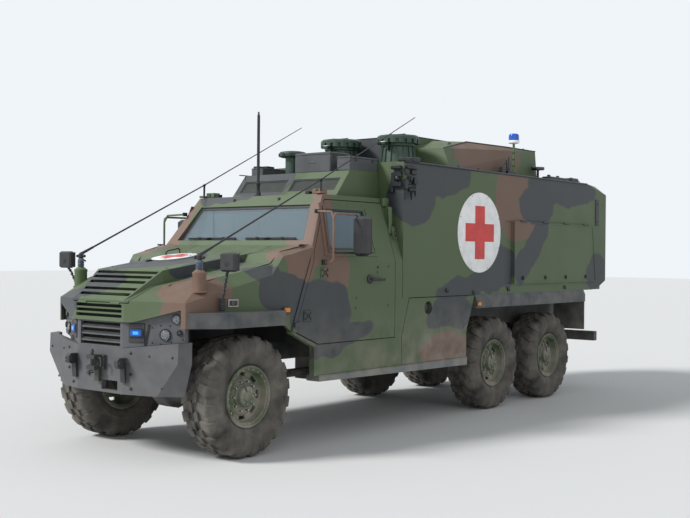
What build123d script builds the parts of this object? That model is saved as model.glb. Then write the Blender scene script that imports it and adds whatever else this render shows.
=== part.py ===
"""Protected six-wheel military ambulance truck, modelled as separate pieces.

X points forward, Y to the truck's left, Z up. The origin is on the ground under
the middle of the whole vehicle. All sizes are in millimetres.
"""
import os
from math import atan2, cos, degrees, hypot, pi, radians, sin

from build123d import *

# Running gear
tyre_diameter = 1090
tyre_width = 370
rim_diameter = 560
track = 1722
wheelbase = 4150
bogie_spacing = 1357
seat_gap = 0.3

# Where the truck starts and ends, from the front axle
front_reach = 960
rear_reach = 7080
axle_x = (rear_reach - front_reach) / 2

# Body shell
body_half = 1080
wall = 60
panel_gap = 8
belt_z = 1758
sill_z = 668
door_base_z = 968
cab_top_z = 2412
cab_lean = 212
box_base_z = 1369
box_top_z = 2800
tub_half = 600
rail_base_z = 765
rail_top_z = 955
cab_floor_z = rail_top_z + seat_gap

# Stations along the truck, measured forward from the front axle
nose_x = 873
louvre_x = 525
hood_corner_x = 642
glass_base_x = -881
glass_top_x = -1100
seam_low_x = -466
seam_top_x = -764
seam_low_z = 1091
seam_top_z = 1839
door_rear_x = -2070
box_front_x = -2200
skirt_front_x = -2330
skirt_rear_x = -3440
box_rear_x = -7000

# Nose and bonnet
flare_out = body_half + 24
hood_kink_x = -420
nose_half = 345
nose_base_z = 1215
fold_z = 1399
louvre_half = 455
louvre_z = 1662
hood_corner_half = 876
hood_corner_z = 1390
hood_base_z = 1170
hood_rear_z = 1890
shell = 30


def hood_edge(x):
    """Half width of the hood behind its front corner, at a station."""
    share = (hood_corner_x - x) / (hood_corner_x - seam_low_x)
    return hood_corner_half + share * (body_half - 8 - hood_corner_half)


def at(x):
    """Station measured from the front axle, in the truck's frame."""
    return axle_x + x


def seam_x(z):
    """The raked joint between hood and cab."""
    share = (z - seam_low_z) / (seam_top_z - seam_low_z)
    return seam_low_x + share * (seam_top_x - seam_low_x)


def pillar_x(z):
    """Rake of the windscreen pillar above the belt."""
    share = (z - seam_top_z) / (cab_top_z - seam_top_z)
    return seam_top_x + share * (glass_top_x - 40 - seam_top_x)


def outline(plane, points):
    with BuildSketch(plane) as drawn:
        with BuildLine():
            Polyline(*points, close=True)
        make_face()
    return drawn.sketch


def side_plane(y):
    """Plane looking from the left at height y; its outlines are (x, z)."""
    return Plane.XZ.offset(-y)


def cross_plane(x):
    """Plane across the truck; its outlines are (y, z) and it extrudes forward."""
    return Plane.YZ.offset(x)


def floor_plane(z):
    return Plane.XY.offset(z)


def facets(plane, radius, sides):
    """Sketch of a regular polygon whose corners lie at the radius."""
    with BuildSketch(plane) as drawn:
        RegularPolygon(radius, sides)
    return drawn.sketch


def drum(sections, sides, middle=(0, 0), mode=Mode.ADD):
    """Many-sided drum along Y through sections of (y, radius); middle is its (x, z)."""
    turns = [2 * pi * side / sides for side in range(sides)]
    rings = [
        [Vector(middle[0] + radius * cos(turn), y, middle[1] + radius * sin(turn)) for turn in turns]
        for y, radius in sections
    ]
    walls = [
        Face(Wire.make_polygon([low[side - 1], low[side], high[side], high[side - 1]]))
        for low, high in zip(rings, rings[1:])
        for side in range(sides)
    ]
    ends = [Face(Wire.make_polygon(ring)) for ring in (rings[0], rings[-1])]
    add(Solid(Shell(walls + ends)), mode=mode)


def both_ways(points):
    """A left half outline (y, z) closed with its mirror image."""
    return points + [(-y, z) for y, z in reversed(points)]


def full_plan(points):
    """A left half plan (station, y), turned into the truck's frame and mirrored."""
    left = [(at(x), y) for x, y in points]
    return left + [(x, -y) for x, y in reversed(left)]


def keep(piece, name):
    piece.part.label = name
    export_step(piece.part, f"parts/{name}.step")


os.makedirs("parts", exist_ok=True)

tyre_radius = tyre_diameter / 2
rim_radius = rim_diameter / 2
wheel_y = track / 2
wheel_stations = {
    "front": axle_x,
    "middle": axle_x - wheelbase,
    "rear": axle_x - wheelbase - bogie_spacing,
}

# Wheels, drawn with flat sides to keep their facets few
wheel_sides = 20
bead_width = 270
tread_base = tyre_radius - 23
tread_edge = tyre_width / 2 - 39
sidewall_top = tyre_radius - 75
# half width and radius of the carcass, from the bead to the edge of the tread
tyre_sections = (
    (bead_width / 2, rim_radius),
    (tyre_width / 2 - 9, rim_radius + 70),
    (tyre_width / 2 - 3, sidewall_top),
    (tread_edge, tread_base),
)
lug_count = 20
lug_width = 84
lug_inner_y = 14
lip_width = 16
lip_drop = 25
barrel_drop = 52
hub_radius = 130
disc_thickness = 26
disc_inset = 70
hub_depth = 78
hub_sides = 12

with BuildPart() as tyre_form:
    left_rings = list(tyre_sections)
    drum([(-y, radius) for y, radius in left_rings] + list(reversed(left_rings)), wheel_sides)
    drum([(-tyre_width, rim_radius), (tyre_width, rim_radius)], wheel_sides, mode=Mode.SUBTRACT)
    # two rows of lugs, the right one half a pitch behind the left
    with BuildPart(mode=Mode.PRIVATE) as lug:
        block = [
            (tread_base - 17, lug_inner_y),
            (tyre_radius, lug_inner_y),
            (tyre_radius, tread_edge - 6),
            (tyre_radius - 45, tyre_width / 2),
            (sidewall_top + 8, tyre_width / 2),
        ]
        extrude(outline(Plane.XY, block), amount=lug_width / 2, both=True)
    pitch = 360 / lug_count
    left_row = [lug.part.rotate(Axis.Y, pitch * place) for place in range(lug_count)]
    right_row = [row.mirror(Plane.XZ).rotate(Axis.Y, pitch / 2) for row in left_row]
    add(left_row + right_row)

with BuildPart() as rim_form:
    seat = rim_radius - seat_gap
    lip = bead_width / 2
    barrel = rim_radius - barrel_drop
    disc_y = lip - disc_inset
    face_y = lip + lip_width
    drum([(-lip, seat), (lip, seat)], wheel_sides)
    drum([(-face_y, seat - lip_drop), (face_y, seat - lip_drop)], wheel_sides)
    drum([(disc_y, barrel), (face_y + 1, barrel)], wheel_sides, mode=Mode.SUBTRACT)
    drum([(-face_y - 1, barrel), (disc_y - disc_thickness, barrel)], wheel_sides, mode=Mode.SUBTRACT)
    drum([(disc_y - 1, hub_radius + 60), (disc_y + 30, hub_radius + 10)], wheel_sides)
    drum([(disc_y - hub_depth, hub_radius), (disc_y + 30, hub_radius)], hub_sides)
    drum([(disc_y + 29, hub_radius - 5), (disc_y + 62, hub_radius - 45)], hub_sides)

for place, station in wheel_stations.items():
    for side, hand in ((1, "left"), (-1, "right")):
        spot = Location((station, side * wheel_y, tyre_radius), (0, 0, 90 - 90 * side))
        with BuildPart() as tyre:
            add(tyre_form.part.moved(spot))
        keep(tyre, f"tyre_{place}_{hand}")
        with BuildPart() as rim:
            add(rim_form.part.moved(spot))
        keep(rim, f"rim_{place}_{hand}")

# Knuckles: a swivel barrel between the axle's ears, with the stub axle that carries the wheel
hub_back_y = wheel_y + bead_width / 2 - disc_inset - hub_depth
king_pin_y = wheel_y - 101
swivel_radius = 50
swivel_height = 110
stub_radius = 45
ear_thickness = 30
ear_width = 90

for side, hand in ((1, "left"), (-1, "right")):
    with BuildPart() as knuckle:
        with Locations((axle_x, side * king_pin_y, tyre_radius)):
            Cylinder(swivel_radius, swivel_height)
        root_y = king_pin_y + swivel_radius + 10
        with Locations((axle_x, side * (king_pin_y + root_y) / 2, tyre_radius)):
            Box(2 * stub_radius, root_y - king_pin_y, 2 * stub_radius)
        with BuildSketch(side_plane(side * root_y)):
            with Locations((axle_x, tyre_radius)):
                Circle(stub_radius)
        extrude(amount=-side * (hub_back_y - seat_gap - root_y))
    keep(knuckle, f"knuckle_{hand}")

# Axles with their bevel housings, and the shafts between them
axle_tube_radius = 75
bevel_radius = 190
bevel_width = 260
shaft_radius = 45
transfer_x = -2150
yoke_y = king_pin_y - 100

with BuildPart() as axles:
    for place, station in wheel_stations.items():
        reach = yoke_y if place == "front" else hub_back_y - seat_gap
        with BuildSketch(side_plane(reach)):
            with Locations((station, tyre_radius)):
                Circle(axle_tube_radius)
        extrude(amount=2 * reach)
        bevel = [(-bevel_width, axle_tube_radius + 10), (-bevel_width / 3, bevel_radius)]
        bevel += [(-y, radius) for y, radius in reversed(bevel)]
        drum(bevel, 12, (station, tyre_radius))
    ear_z = swivel_height / 2 + seat_gap + ear_thickness / 2
    for side in (1, -1):
        with Locations((axle_x, side * (yoke_y - 20), tyre_radius)):
            Box(ear_width, 40, 2 * ear_z + ear_thickness)
        for up in (1, -1):
            with Locations((axle_x, side * (yoke_y + king_pin_y + ear_width / 2 - 20) / 2, tyre_radius + up * ear_z)):
                Box(ear_width, king_pin_y + ear_width / 2 + 20 - yoke_y, ear_thickness)
    with Locations((at(transfer_x), 0, tyre_radius + 60)):
        Box(420, 360, 300)
    shaft_ends = (wheel_stations["front"], wheel_stations["rear"])
    with BuildSketch(cross_plane(shaft_ends[1])):
        with Locations((0, tyre_radius)):
            RegularPolygon(shaft_radius, 8)
    extrude(amount=shaft_ends[0] - shaft_ends[1])
keep(axles, "axles")

# Ladder frame with cross members and the coil spring towers
rail_y = 400
rail_width = 80
rail_front_x = 750
rail_rear_x = -6850
member_width = 90
spring_radius = 75
spring_y = 500
cross_members = (620, -640, -1500, -2700, -3450, -4820, -6100, -6800)
beam_depth = 90
beam_half = 920
beam_base_z = 640
beam_height = 130

with BuildPart() as chassis_frame:
    for side in (1, -1):
        with BuildSketch(cross_plane(at(rail_rear_x))):
            with Locations((side * rail_y, (rail_base_z + rail_top_z) / 2)):
                Rectangle(rail_width, rail_top_z - rail_base_z)
        extrude(amount=rail_front_x - rail_rear_x)
    for x in cross_members:
        with Locations((at(x), 0, rail_top_z - 60)):
            Box(member_width, 2 * rail_y, 90)
    for station in wheel_stations.values():
        for side in (1, -1):
            with Locations((station, side * (rail_y + spring_y) / 2, rail_base_z + 90)):
                Box(190, spring_y - rail_y + rail_width, 60)
            tower_foot = tyre_radius + axle_tube_radius + seat_gap
            with BuildSketch(floor_plane(tower_foot)):
                with Locations((station, side * spring_y)):
                    RegularPolygon(spring_radius, 8)
            extrude(amount=rail_base_z + 90 - tower_foot)
    # under-run beam behind, hung from the rail ends
    beam_x = -rear_reach + beam_depth / 2
    with Locations((at(beam_x), 0, beam_base_z + beam_height / 2)):
        Box(beam_depth, 2 * beam_half, beam_height)
    for side in (1, -1):
        hanger = [
            (at(rail_rear_x), rail_top_z),
            (at(rail_rear_x), rail_base_z),
            (at(beam_x), beam_base_z),
            (at(beam_x), beam_base_z + beam_height),
            (at(rail_rear_x - 60), rail_top_z),
        ]
        extrude(
            outline(side_plane(side * rail_y + rail_width / 2), [(x + 20, z) if x == at(rail_rear_x) else (x, z) for x, z in hanger]),
            amount=rail_width,
        )
keep(chassis_frame, "chassis_frame")

# Engine as one plain block between the rails
engine_length = 900
engine_width = 560
engine_base_z = 800
engine_height = 640

with BuildPart() as engine:
    with Locations((at(-80), 0, engine_base_z + engine_height / 2)):
        Box(engine_length, engine_width, engine_height)
    with Locations((at(-80), 0, rail_top_z + 25 + seat_gap)):
        Box(160, 2 * rail_y + rail_width, 50)
keep(engine, "engine")

# Bumper: a faceted plate beam with swept wings, and the towing gear on its face
bumper_base_z = 585
bumper_knee_z = 880
bumper_top_mid_z = 986
bumper_top_end_z = 1062
bumper_plate = 50
bumper_x = 853
bumper_mid_half = 315
foothold_y = 135
foothold_z = 652
foothold_width = 220
foothold_height = 84
tow_eye_y = 340
tow_eye_z = 860
tow_eye_width = 50
tow_eye_bore = 20
jaw_z = 850

# wing_x and wing_y: where the swept wing ends; back_x and back_y: where the return ends
bumper_sections = {
    bumper_base_z: (761, 659, 615, 845),
    bumper_knee_z: (742, 897, 612, 932),
    bumper_top_end_z: (735, 897, 612, 932),
}


def bumper_plan(z):
    wing_x, wing_y, back_x, back_y = bumper_sections[z]
    outer = [(bumper_x, bumper_mid_half), (wing_x, wing_y), (back_x, back_y)]
    inner = [
        (back_x, back_y - bumper_plate),
        (wing_x - bumper_plate, wing_y - bumper_plate),
        (bumper_x - bumper_plate, bumper_mid_half),
    ]
    return outline(floor_plane(z), full_plan(outer + inner))


with BuildPart() as bumper:
    loft([bumper_plan(bumper_base_z), bumper_plan(bumper_knee_z)], ruled=True)
    loft([bumper_plan(bumper_knee_z), bumper_plan(bumper_top_end_z)], ruled=True)
    top_cut = [
        (bumper_mid_half, bumper_top_mid_z),
        (body_half, bumper_top_end_z + 12),
        (body_half, bumper_top_end_z + 60),
    ]
    extrude(outline(cross_plane(at(0)), both_ways(top_cut)), amount=front_reach, mode=Mode.SUBTRACT)
    for side in (1, -1):
        reach = bumper_x - bumper_plate + 10 - rail_front_x - seat_gap
        with Locations(
            (at(rail_front_x + seat_gap + reach / 2), side * rail_y, (rail_base_z + rail_top_z) / 2)
        ):
            Box(reach, rail_width + 40, rail_top_z - rail_base_z)
    # foothold in the middle plate
    with Locations((at(bumper_x), foothold_y, foothold_z)):
        Box(4 * bumper_plate, foothold_width, foothold_height, mode=Mode.SUBTRACT)
    # tow eyes, each on a tapered bracket
    for y in (tow_eye_y, -tow_eye_y):
        eye = [
            (bumper_x - 15, tow_eye_z - 45),
            (bumper_x + 75, tow_eye_z - 45),
            (bumper_x + 95, tow_eye_z - 25),
            (bumper_x + 95, tow_eye_z + 25),
            (bumper_x + 75, tow_eye_z + 45),
            (bumper_x - 15, tow_eye_z + 45),
        ]
        with BuildSketch(side_plane(y + tow_eye_width / 2)):
            add(outline(Plane.XY, [(at(x), z) for x, z in eye]))
            with Locations((at(bumper_x) + 62, tow_eye_z)):
                Circle(tow_eye_bore, mode=Mode.SUBTRACT)
        extrude(amount=tow_eye_width)
        strap = [
            (bumper_x - 15, tow_eye_z),
            (bumper_x + 34, tow_eye_z),
            (bumper_x + 20, tow_eye_z - 170),
            (bumper_x - 15, tow_eye_z - 170),
        ]
        extrude(outline(side_plane(y + 30), [(at(x), z) for x, z in strap]), amount=60)
    # coupling jaw in the middle, its two lips joined by the pin
    with Locations((at(bumper_x) + 12, 0, jaw_z)):
        Box(30, 190, 130)
    jaw_lip = [(20, 65), (107, 65), (107, 30), (60, 20), (60, -20), (107, -30), (107, -65), (20, -65)]
    extrude(
        outline(side_plane(55), [(at(bumper_x) + x, jaw_z + z) for x, z in jaw_lip]), amount=110
    )
    with BuildSketch(floor_plane(jaw_z - 78)):
        with Locations((at(bumper_x) + 88, 0)):
            RegularPolygon(15, 8)
    extrude(amount=170)
    with Locations((at(bumper_x) + 16, 0, jaw_z - 115)):
        Box(40, 60, 110)
keep(bumper, "bumper")

# Lamp panels and the dark lower grille: one bent plate under the bonnet's lip
panel_plate = 36
panel_front_x = 852
panel_end_x = 604
panel_end_half = 834
grille_half = 292
grille_base_z = bumper_top_mid_z + seat_gap
grille_slats = 3
lamp_panel_top_z = 1330

with BuildPart() as front_panel:
    plan = [
        (panel_front_x, grille_half + 14),
        (panel_end_x, panel_end_half),
        (panel_end_x - panel_plate, panel_end_half),
        (panel_front_x - panel_plate - 4, grille_half + 14),
    ]
    extrude(outline(floor_plane(grille_base_z - 20), full_plan(plan)), amount=400)
    face = [
        (grille_half, grille_base_z),
        (panel_end_half, grille_base_z + 62),
        (panel_end_half, lamp_panel_top_z),
        (nose_half, nose_base_z - seat_gap),
    ]
    extrude(outline(cross_plane(at(0)), both_ways(face)), amount=front_reach, mode=Mode.INTERSECT)
    # open grille with three slats set back in it
    opening_height = nose_base_z - grille_base_z - 26
    opening_z = grille_base_z + 12 + opening_height / 2
    with Locations((at(panel_front_x), 0, opening_z)):
        Box(4 * panel_plate, 2 * grille_half - 30, opening_height, mode=Mode.SUBTRACT)
    slat_pitch = opening_height / (grille_slats + 0.4)
    for row in range(grille_slats):
        low_z = opening_z - opening_height / 2 + slat_pitch * (row + 0.45)
        slat = [(-8, 0), (-8, 14), (-28, 30), (-28, 16)]
        extrude(
            outline(side_plane(grille_half), [(at(panel_front_x) + x, low_z + z) for x, z in slat]),
            amount=2 * grille_half,
        )
keep(front_panel, "front_panel")

# Lamps: head lamp, upper lamp, small lamp and blue lamp on each panel
panel_slope = atan2(panel_front_x - panel_end_x, panel_end_half - grille_half - 14)
# y, z, radius, depth
front_lamps = ((670, 1112, 46, 22), (762, 1248, 40, 16), (790, 1130, 22, 16), (400, 1120, 36, 44))
side_lamp_x = -417
side_lamp_z = 1304
mid_lamp_x = -3650
mid_lamp_z = 1264
tail_lamp_z = 1200


def panel_x(y):
    return panel_front_x - (abs(y) - grille_half - 14) * sin(panel_slope) / cos(panel_slope)


with BuildPart() as lamps:
    for y, z, radius, depth in front_lamps:
        for side in (1, -1):
            middle = (at(panel_x(y)) + seat_gap, side * y, z)
            lean = degrees(panel_slope) * side
            facing = Plane(origin=middle, z_dir=(cos(panel_slope), side * sin(panel_slope), 0))
            with BuildSketch(facing):
                RegularPolygon(radius, 12)
            extrude(amount=depth)
    # marker lamps: middle station, half width of the wall at the lamp's front and rear, height
    for x, front_y, rear_y, z in (
        (side_lamp_x, hood_edge(side_lamp_x + 25), hood_edge(side_lamp_x - 25), side_lamp_z),
        (mid_lamp_x, flare_out, flare_out, mid_lamp_z),
    ):
        marker = [
            (at(x) + 25, front_y + seat_gap),
            (at(x) + 25, rear_y + 30),
            (at(x) - 25, rear_y + 30),
            (at(x) - 25, rear_y + seat_gap),
        ]
        for side in (1, -1):
            corners = [(lamp_x, side * y) for lamp_x, y in marker]
            extrude(outline(floor_plane(z - 22), corners), amount=44)
keep(lamps, "lamps")

# Hood: flat facets, split into the fixed nose with its fenders and the tilting bonnet
hood_floor_z = 780
hood_end_x = -1000
dome_rear_x = -622
dome_rear_half = 500
dome_rear_z = 1835
# Each facet passes through three points of its left half: station, y, z
front_facet = ((nose_x, nose_half, fold_z), (hood_corner_x, hood_corner_half, hood_corner_z), (614, 450, 1525))
side_bevel = ((378, 923, 1455), (-260, 1035, 1625), (333, 811, 1573))
hood_top = ((614, 450, 1525), (614, 0, 1525), (-420, 0, 1737))
cowl_step = ((-260, 1035, 1625), (-386, 1057, 1798), (-430, 500, 1732))
cowl_top = ((-454, 950, 1838), (-770, 1005, 1907), (dome_rear_x, dome_rear_half, dome_rear_z + 1))
cowl_bevel = ((-386, 1057, 1798), (-737, 1070, 1874), (-454, 950, 1838))
louvre_face = ((nose_x, nose_half, fold_z), (louvre_x, louvre_half, louvre_z), (louvre_x, 0, louvre_z))
dome_top = ((louvre_x, louvre_half, louvre_z), (louvre_x, 0, louvre_z), (dome_rear_x, 0, dome_rear_z))
cowl_rise = ((-600, 900, 1832), (-600, 0, 1832), (glass_base_x, 0, 1925))
hood_plan = (
    (nose_x, nose_half),
    (hood_corner_x, hood_corner_half),
    (seam_low_x, body_half - 8),
    (hood_end_x, body_half - 8),
)
dome_plan = (
    (nose_x, nose_half),
    (louvre_x, louvre_half),
    (dome_rear_x, dome_rear_half),
    (hood_end_x, dome_rear_half + 20),
)
cowl_plan = ((-560, 920), (hood_end_x, 960))


def faceted(plan, cuts, inset):
    """Left half of a block on a plan, cut by facets, with every outer face drawn in by inset."""
    with BuildPart() as block:
        with BuildSketch(floor_plane(hood_floor_z)):
            add(outline(Plane.XY, full_plan(plan)))
            offset(amount=-inset, kind=Kind.INTERSECTION)
        extrude(amount=cab_top_z - hood_floor_z)
        split(bisect_by=Plane.XZ, keep=Keep.BOTTOM)
        for points in cuts:
            a, b, c = (Vector(at(x), y, z) for x, y, z in points)
            up = (b - a).cross(c - a).normalized()
            up = up if up.Z > 0 else -up
            split(bisect_by=Plane(origin=a - up * inset, z_dir=up), keep=Keep.BOTTOM)
    return block.part


def hood_form(inset):
    """Solid of the hood, drawn in by inset from every outer face."""
    with BuildPart() as form:
        add(faceted(hood_plan, (front_facet, side_bevel, hood_top), inset))
        add(faceted(hood_plan, (cowl_step, cowl_top, cowl_bevel), inset))
        add(faceted(dome_plan, (louvre_face, dome_top), inset))
        add(faceted(cowl_plan, (cowl_rise, cowl_bevel), inset))
        mirror(about=Plane.XZ)
    return form.part


hood_outer = hood_form(0)
hood_inner = hood_form(shell)
post_half = 838
# under the nose, and behind the corner posts
lamp_opening = [
    (nose_x + 40, nose_base_z),
    (nose_x - shell - 4, nose_base_z),
    (hood_corner_x + 14, lamp_panel_top_z),
    (hood_corner_x - shell - 2, lamp_panel_top_z),
    (hood_corner_x - shell - 2, hood_floor_z - 10),
    (nose_x + 40, hood_floor_z - 10),
]
arch_opening = [
    (nose_x + 40, hood_base_z),
    (-400, hood_base_z),
    (seam_low_x - 40, seam_low_z - 6),
    (seam_low_x - 40, hood_floor_z - 10),
    (nose_x + 40, hood_floor_z - 10),
]
lid_outline = [
    (nose_x, nose_half + 8),
    (louvre_x, louvre_half + 12),
    (dome_rear_x, dome_rear_half + 12),
    (glass_base_x + 60, dome_rear_half + 24),
]
# share of the way up the sloped face, half width
louvre_slots = ((0.193, 344), (0.365, 361), (0.589, 385), (0.756, 402), (0.91, 417))
louvre_slot_height = 38
nose_slot_levels = (1262, 1306, 1349)
nose_slot_half = 318
nose_slot_height = 28


def lid_prism(grow):
    left = [(x, y + grow) for x, y in lid_outline]
    left[0] = (lid_outline[0][0] + 100, left[0][1])
    left[-1] = (lid_outline[-1][0] - grow, left[-1][1])
    return full_plan(left)


seam_cut = [
    (at(seam_low_x), hood_base_z - 400),
    (at(seam_low_x), seam_low_z),
    (at(seam_top_x), seam_top_z),
    (at(pillar_x(cab_top_z)), cab_top_z),
    (at(pillar_x(cab_top_z)) - 300, cab_top_z),
    (at(pillar_x(cab_top_z)) - 300, hood_base_z - 400),
]

with BuildPart() as hood_shell:
    add(hood_outer)
    add(hood_inner, mode=Mode.SUBTRACT)
    extrude(
        outline(side_plane(post_half), [(at(x), z) for x, z in lamp_opening]),
        amount=2 * post_half,
        mode=Mode.SUBTRACT,
    )
    extrude(
        outline(side_plane(body_half + 50), [(at(x), z) for x, z in arch_opening]),
        amount=2 * body_half + 100,
        mode=Mode.SUBTRACT,
    )
    extrude(
        outline(side_plane(body_half + 50), seam_cut), amount=2 * body_half + 100, mode=Mode.SUBTRACT
    )
    # louvres across the sloped face and slots across the upright face
    slope = atan2(louvre_z - fold_z, nose_x - louvre_x)
    run = hypot(louvre_z - fold_z, nose_x - louvre_x)
    for share, half in louvre_slots:
        middle = (at(nose_x) - share * run * cos(slope), 0, fold_z + share * run * sin(slope))
        face = Plane(origin=middle, x_dir=(0, 1, 0), z_dir=(sin(slope), 0, cos(slope)))
        with BuildSketch(face):
            Rectangle(2 * half, louvre_slot_height)
        extrude(amount=60, both=True, mode=Mode.SUBTRACT)
    for z in nose_slot_levels:
        with Locations((at(nose_x), 0, z)):
            Box(120, 2 * nose_slot_half, nose_slot_height, mode=Mode.SUBTRACT)

# The bonnet tilts forward about barrels in its lower front edge
lid_floor = fold_z - 16
barrel_radius = 10
barrel_length = 120
barrel_spread = 230
bonnet_pin_x = nose_x - 1
bonnet_pin_z = lid_floor - seat_gap - barrel_radius
with BuildPart() as bonnet:
    add(hood_shell.part)
    extrude(outline(floor_plane(lid_floor), lid_prism(0)), amount=900, mode=Mode.INTERSECT)
keep(bonnet, "bonnet")

with BuildPart() as nose_shell:
    add(hood_shell.part)
    extrude(
        outline(floor_plane(lid_floor - panel_gap), lid_prism(panel_gap)),
        amount=900,
        mode=Mode.SUBTRACT,
    )
    for side in (1, -1):
        with BuildSketch(side_plane(side * barrel_spread + barrel_length / 2)):
            with Locations((at(bonnet_pin_x), bonnet_pin_z)):
                Circle(barrel_radius)
        extrude(amount=barrel_length)
keep(nose_shell, "nose_shell")


# Cab walls: upright to the belt, then leaning in to the roof
def wall_line(inset, base, top):
    """Points of the cab's side wall line, drawn in by inset from the outer face."""
    rise = cab_top_z - belt_z
    run = hypot(rise, cab_lean)
    corner = belt_z + inset * (run - rise) / cab_lean * rise / run - inset * cab_lean / run
    reach = (top - belt_z + inset * cab_lean / run) * run / rise
    top_y = body_half - reach * cab_lean / run - inset * rise / run
    return [(body_half - inset, base), (body_half - inset, corner), (top_y, top)]


def leaning_y(z):
    """Half width of the leaning wall above the belt."""
    return body_half - (z - belt_z) * cab_lean / (cab_top_z - belt_z)


def wall_band(outer, inner, base, top):
    return wall_line(outer, base, top) + list(reversed(wall_line(inner, base, top)))


door_top_z = cab_top_z - 60
lash_rail_x = -2170
lash_rail_width = 60
lash_rail_proud = 28
lash_rail_base_z = 1990
lash_rail_top_z = 2360


# Hinge at the foot of the door's raked front edge, its barrel on the post and its eye on the door
door_lead = 60
door_pin_x = -522
door_pin_y = body_half + 12
door_pin_z = 1140
door_pin_radius = 9
door_pin_length = 45
door_strap = 90


def door_side(grow):
    """Side outline of the door, grown by grow on every edge."""
    return [
        (at(seam_x(1100) - door_lead + grow), 1100 - grow),
        (at(seam_top_x - door_lead + grow), seam_top_z),
        (at(pillar_x(door_top_z) - door_lead + grow), door_top_z + grow),
        (at(door_rear_x - grow), door_top_z + grow),
        (at(door_rear_x - grow), door_base_z - grow),
        (at(-860 + grow), door_base_z - grow),
    ]


window_front_x = -1010
window_rear_x = -1720
window_base_z = 1860
window_top_z = 2262
door_thickness = 55


def window_side(grow):
    return [
        (at(window_front_x - 40 + grow), window_base_z - grow),
        (at(window_front_x - 110 + grow), window_top_z + grow),
        (at(window_rear_x - grow), window_top_z + grow),
        (at(window_rear_x - grow), window_base_z - grow),
    ]


with BuildPart() as cab_sides:
    for side in (1, -1):
        band = [(side * y, z) for y, z in wall_band(0, wall, sill_z, cab_top_z - 4)]
        extrude(outline(cross_plane(at(box_front_x - 130)), band), amount=2000)
    lower_edge = [
        (at(seam_low_x) - panel_gap, seam_low_z),
        (at(seam_top_x) - panel_gap, seam_top_z),
        (at(pillar_x(cab_top_z)) - panel_gap, cab_top_z),
        (at(box_front_x), cab_top_z),
        (at(box_front_x), box_base_z),
        (at(skirt_front_x) + panel_gap, box_base_z),
        (at(box_front_x) + panel_gap, door_base_z),
        (at(box_front_x) + panel_gap, sill_z),
        (at(-800), sill_z),
        (at(-800), 940),
    ]
    extrude(
        outline(side_plane(body_half + 50), lower_edge), amount=2 * body_half + 100, mode=Mode.INTERSECT
    )
    extrude(
        outline(side_plane(body_half + 50), door_side(panel_gap)),
        amount=2 * body_half + 100,
        mode=Mode.SUBTRACT,
    )
    for side in (1, -1):
        with Locations((at(door_pin_x), side * door_pin_y, door_pin_z - door_pin_length / 2)):
            Cylinder(door_pin_radius, door_pin_length)
        foot_x = door_pin_x + 16
        with Locations((at(foot_x), side * (door_pin_y - 5), door_pin_z - door_pin_length / 2)):
            Box(32, 18, door_pin_length)
        # lashing rail up the rear edge of the wall
        rail = [
            (side * (leaning_y(z) + proud), z)
            for z, proud in (
                (lash_rail_base_z, -8),
                (lash_rail_base_z, lash_rail_proud),
                (lash_rail_top_z, lash_rail_proud),
                (lash_rail_top_z, -8),
            )
        ]
        extrude(outline(cross_plane(at(lash_rail_x)), rail), amount=lash_rail_width)
keep(cab_sides, "cab_sides")

with BuildPart() as door_left:
    extrude(
        outline(cross_plane(at(box_front_x)), wall_band(0, door_thickness, door_base_z, door_top_z)),
        amount=2000,
    )
    extrude(outline(side_plane(body_half + 50), door_side(0)), amount=body_half, mode=Mode.INTERSECT)
    extrude(outline(side_plane(body_half + 50), window_side(0)), amount=body_half, mode=Mode.SUBTRACT)
    eye_z = door_pin_z + seat_gap + door_pin_length / 2
    with Locations((at(door_pin_x), door_pin_y, eye_z)):
        Cylinder(door_pin_radius, door_pin_length)
    with Locations((at(door_pin_x) - door_strap / 2, door_pin_y - 2, eye_z)):
        Box(door_strap, 14, door_pin_length)
    with Locations((at(door_pin_x) - door_strap + 12, door_pin_y - 8, eye_z)):
        Box(24, 16, door_pin_length)
keep(door_left, "door_left")
with BuildPart() as door_right:
    mirror(door_left.part, about=Plane.XZ)
keep(door_right, "door_right")

glass_inset = 14
glass_thickness = 30
with BuildPart() as door_glass_left:
    extrude(
        outline(
            cross_plane(at(box_front_x)),
            wall_band(glass_inset, glass_inset + glass_thickness, door_base_z, door_top_z),
        ),
        amount=2000,
    )
    extrude(
        outline(side_plane(body_half + 50), window_side(-seat_gap)), amount=body_half, mode=Mode.INTERSECT
    )
keep(door_glass_left, "door_glass_left")
with BuildPart() as door_glass_right:
    mirror(door_glass_left.part, about=Plane.XZ)
keep(door_glass_right, "door_glass_right")

# Door fittings: mirror with its arms, and the handle
mirror_y = body_half + 180
mirror_width = 170
mirror_depth = 130
mirror_bevel = 35
mirror_x = -1290
mirror_low_z = 1800
mirror_top_z = 2190
arm_radius = 12
arm_x = -930
handle_x = -1760
handle_z = 1572

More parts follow.
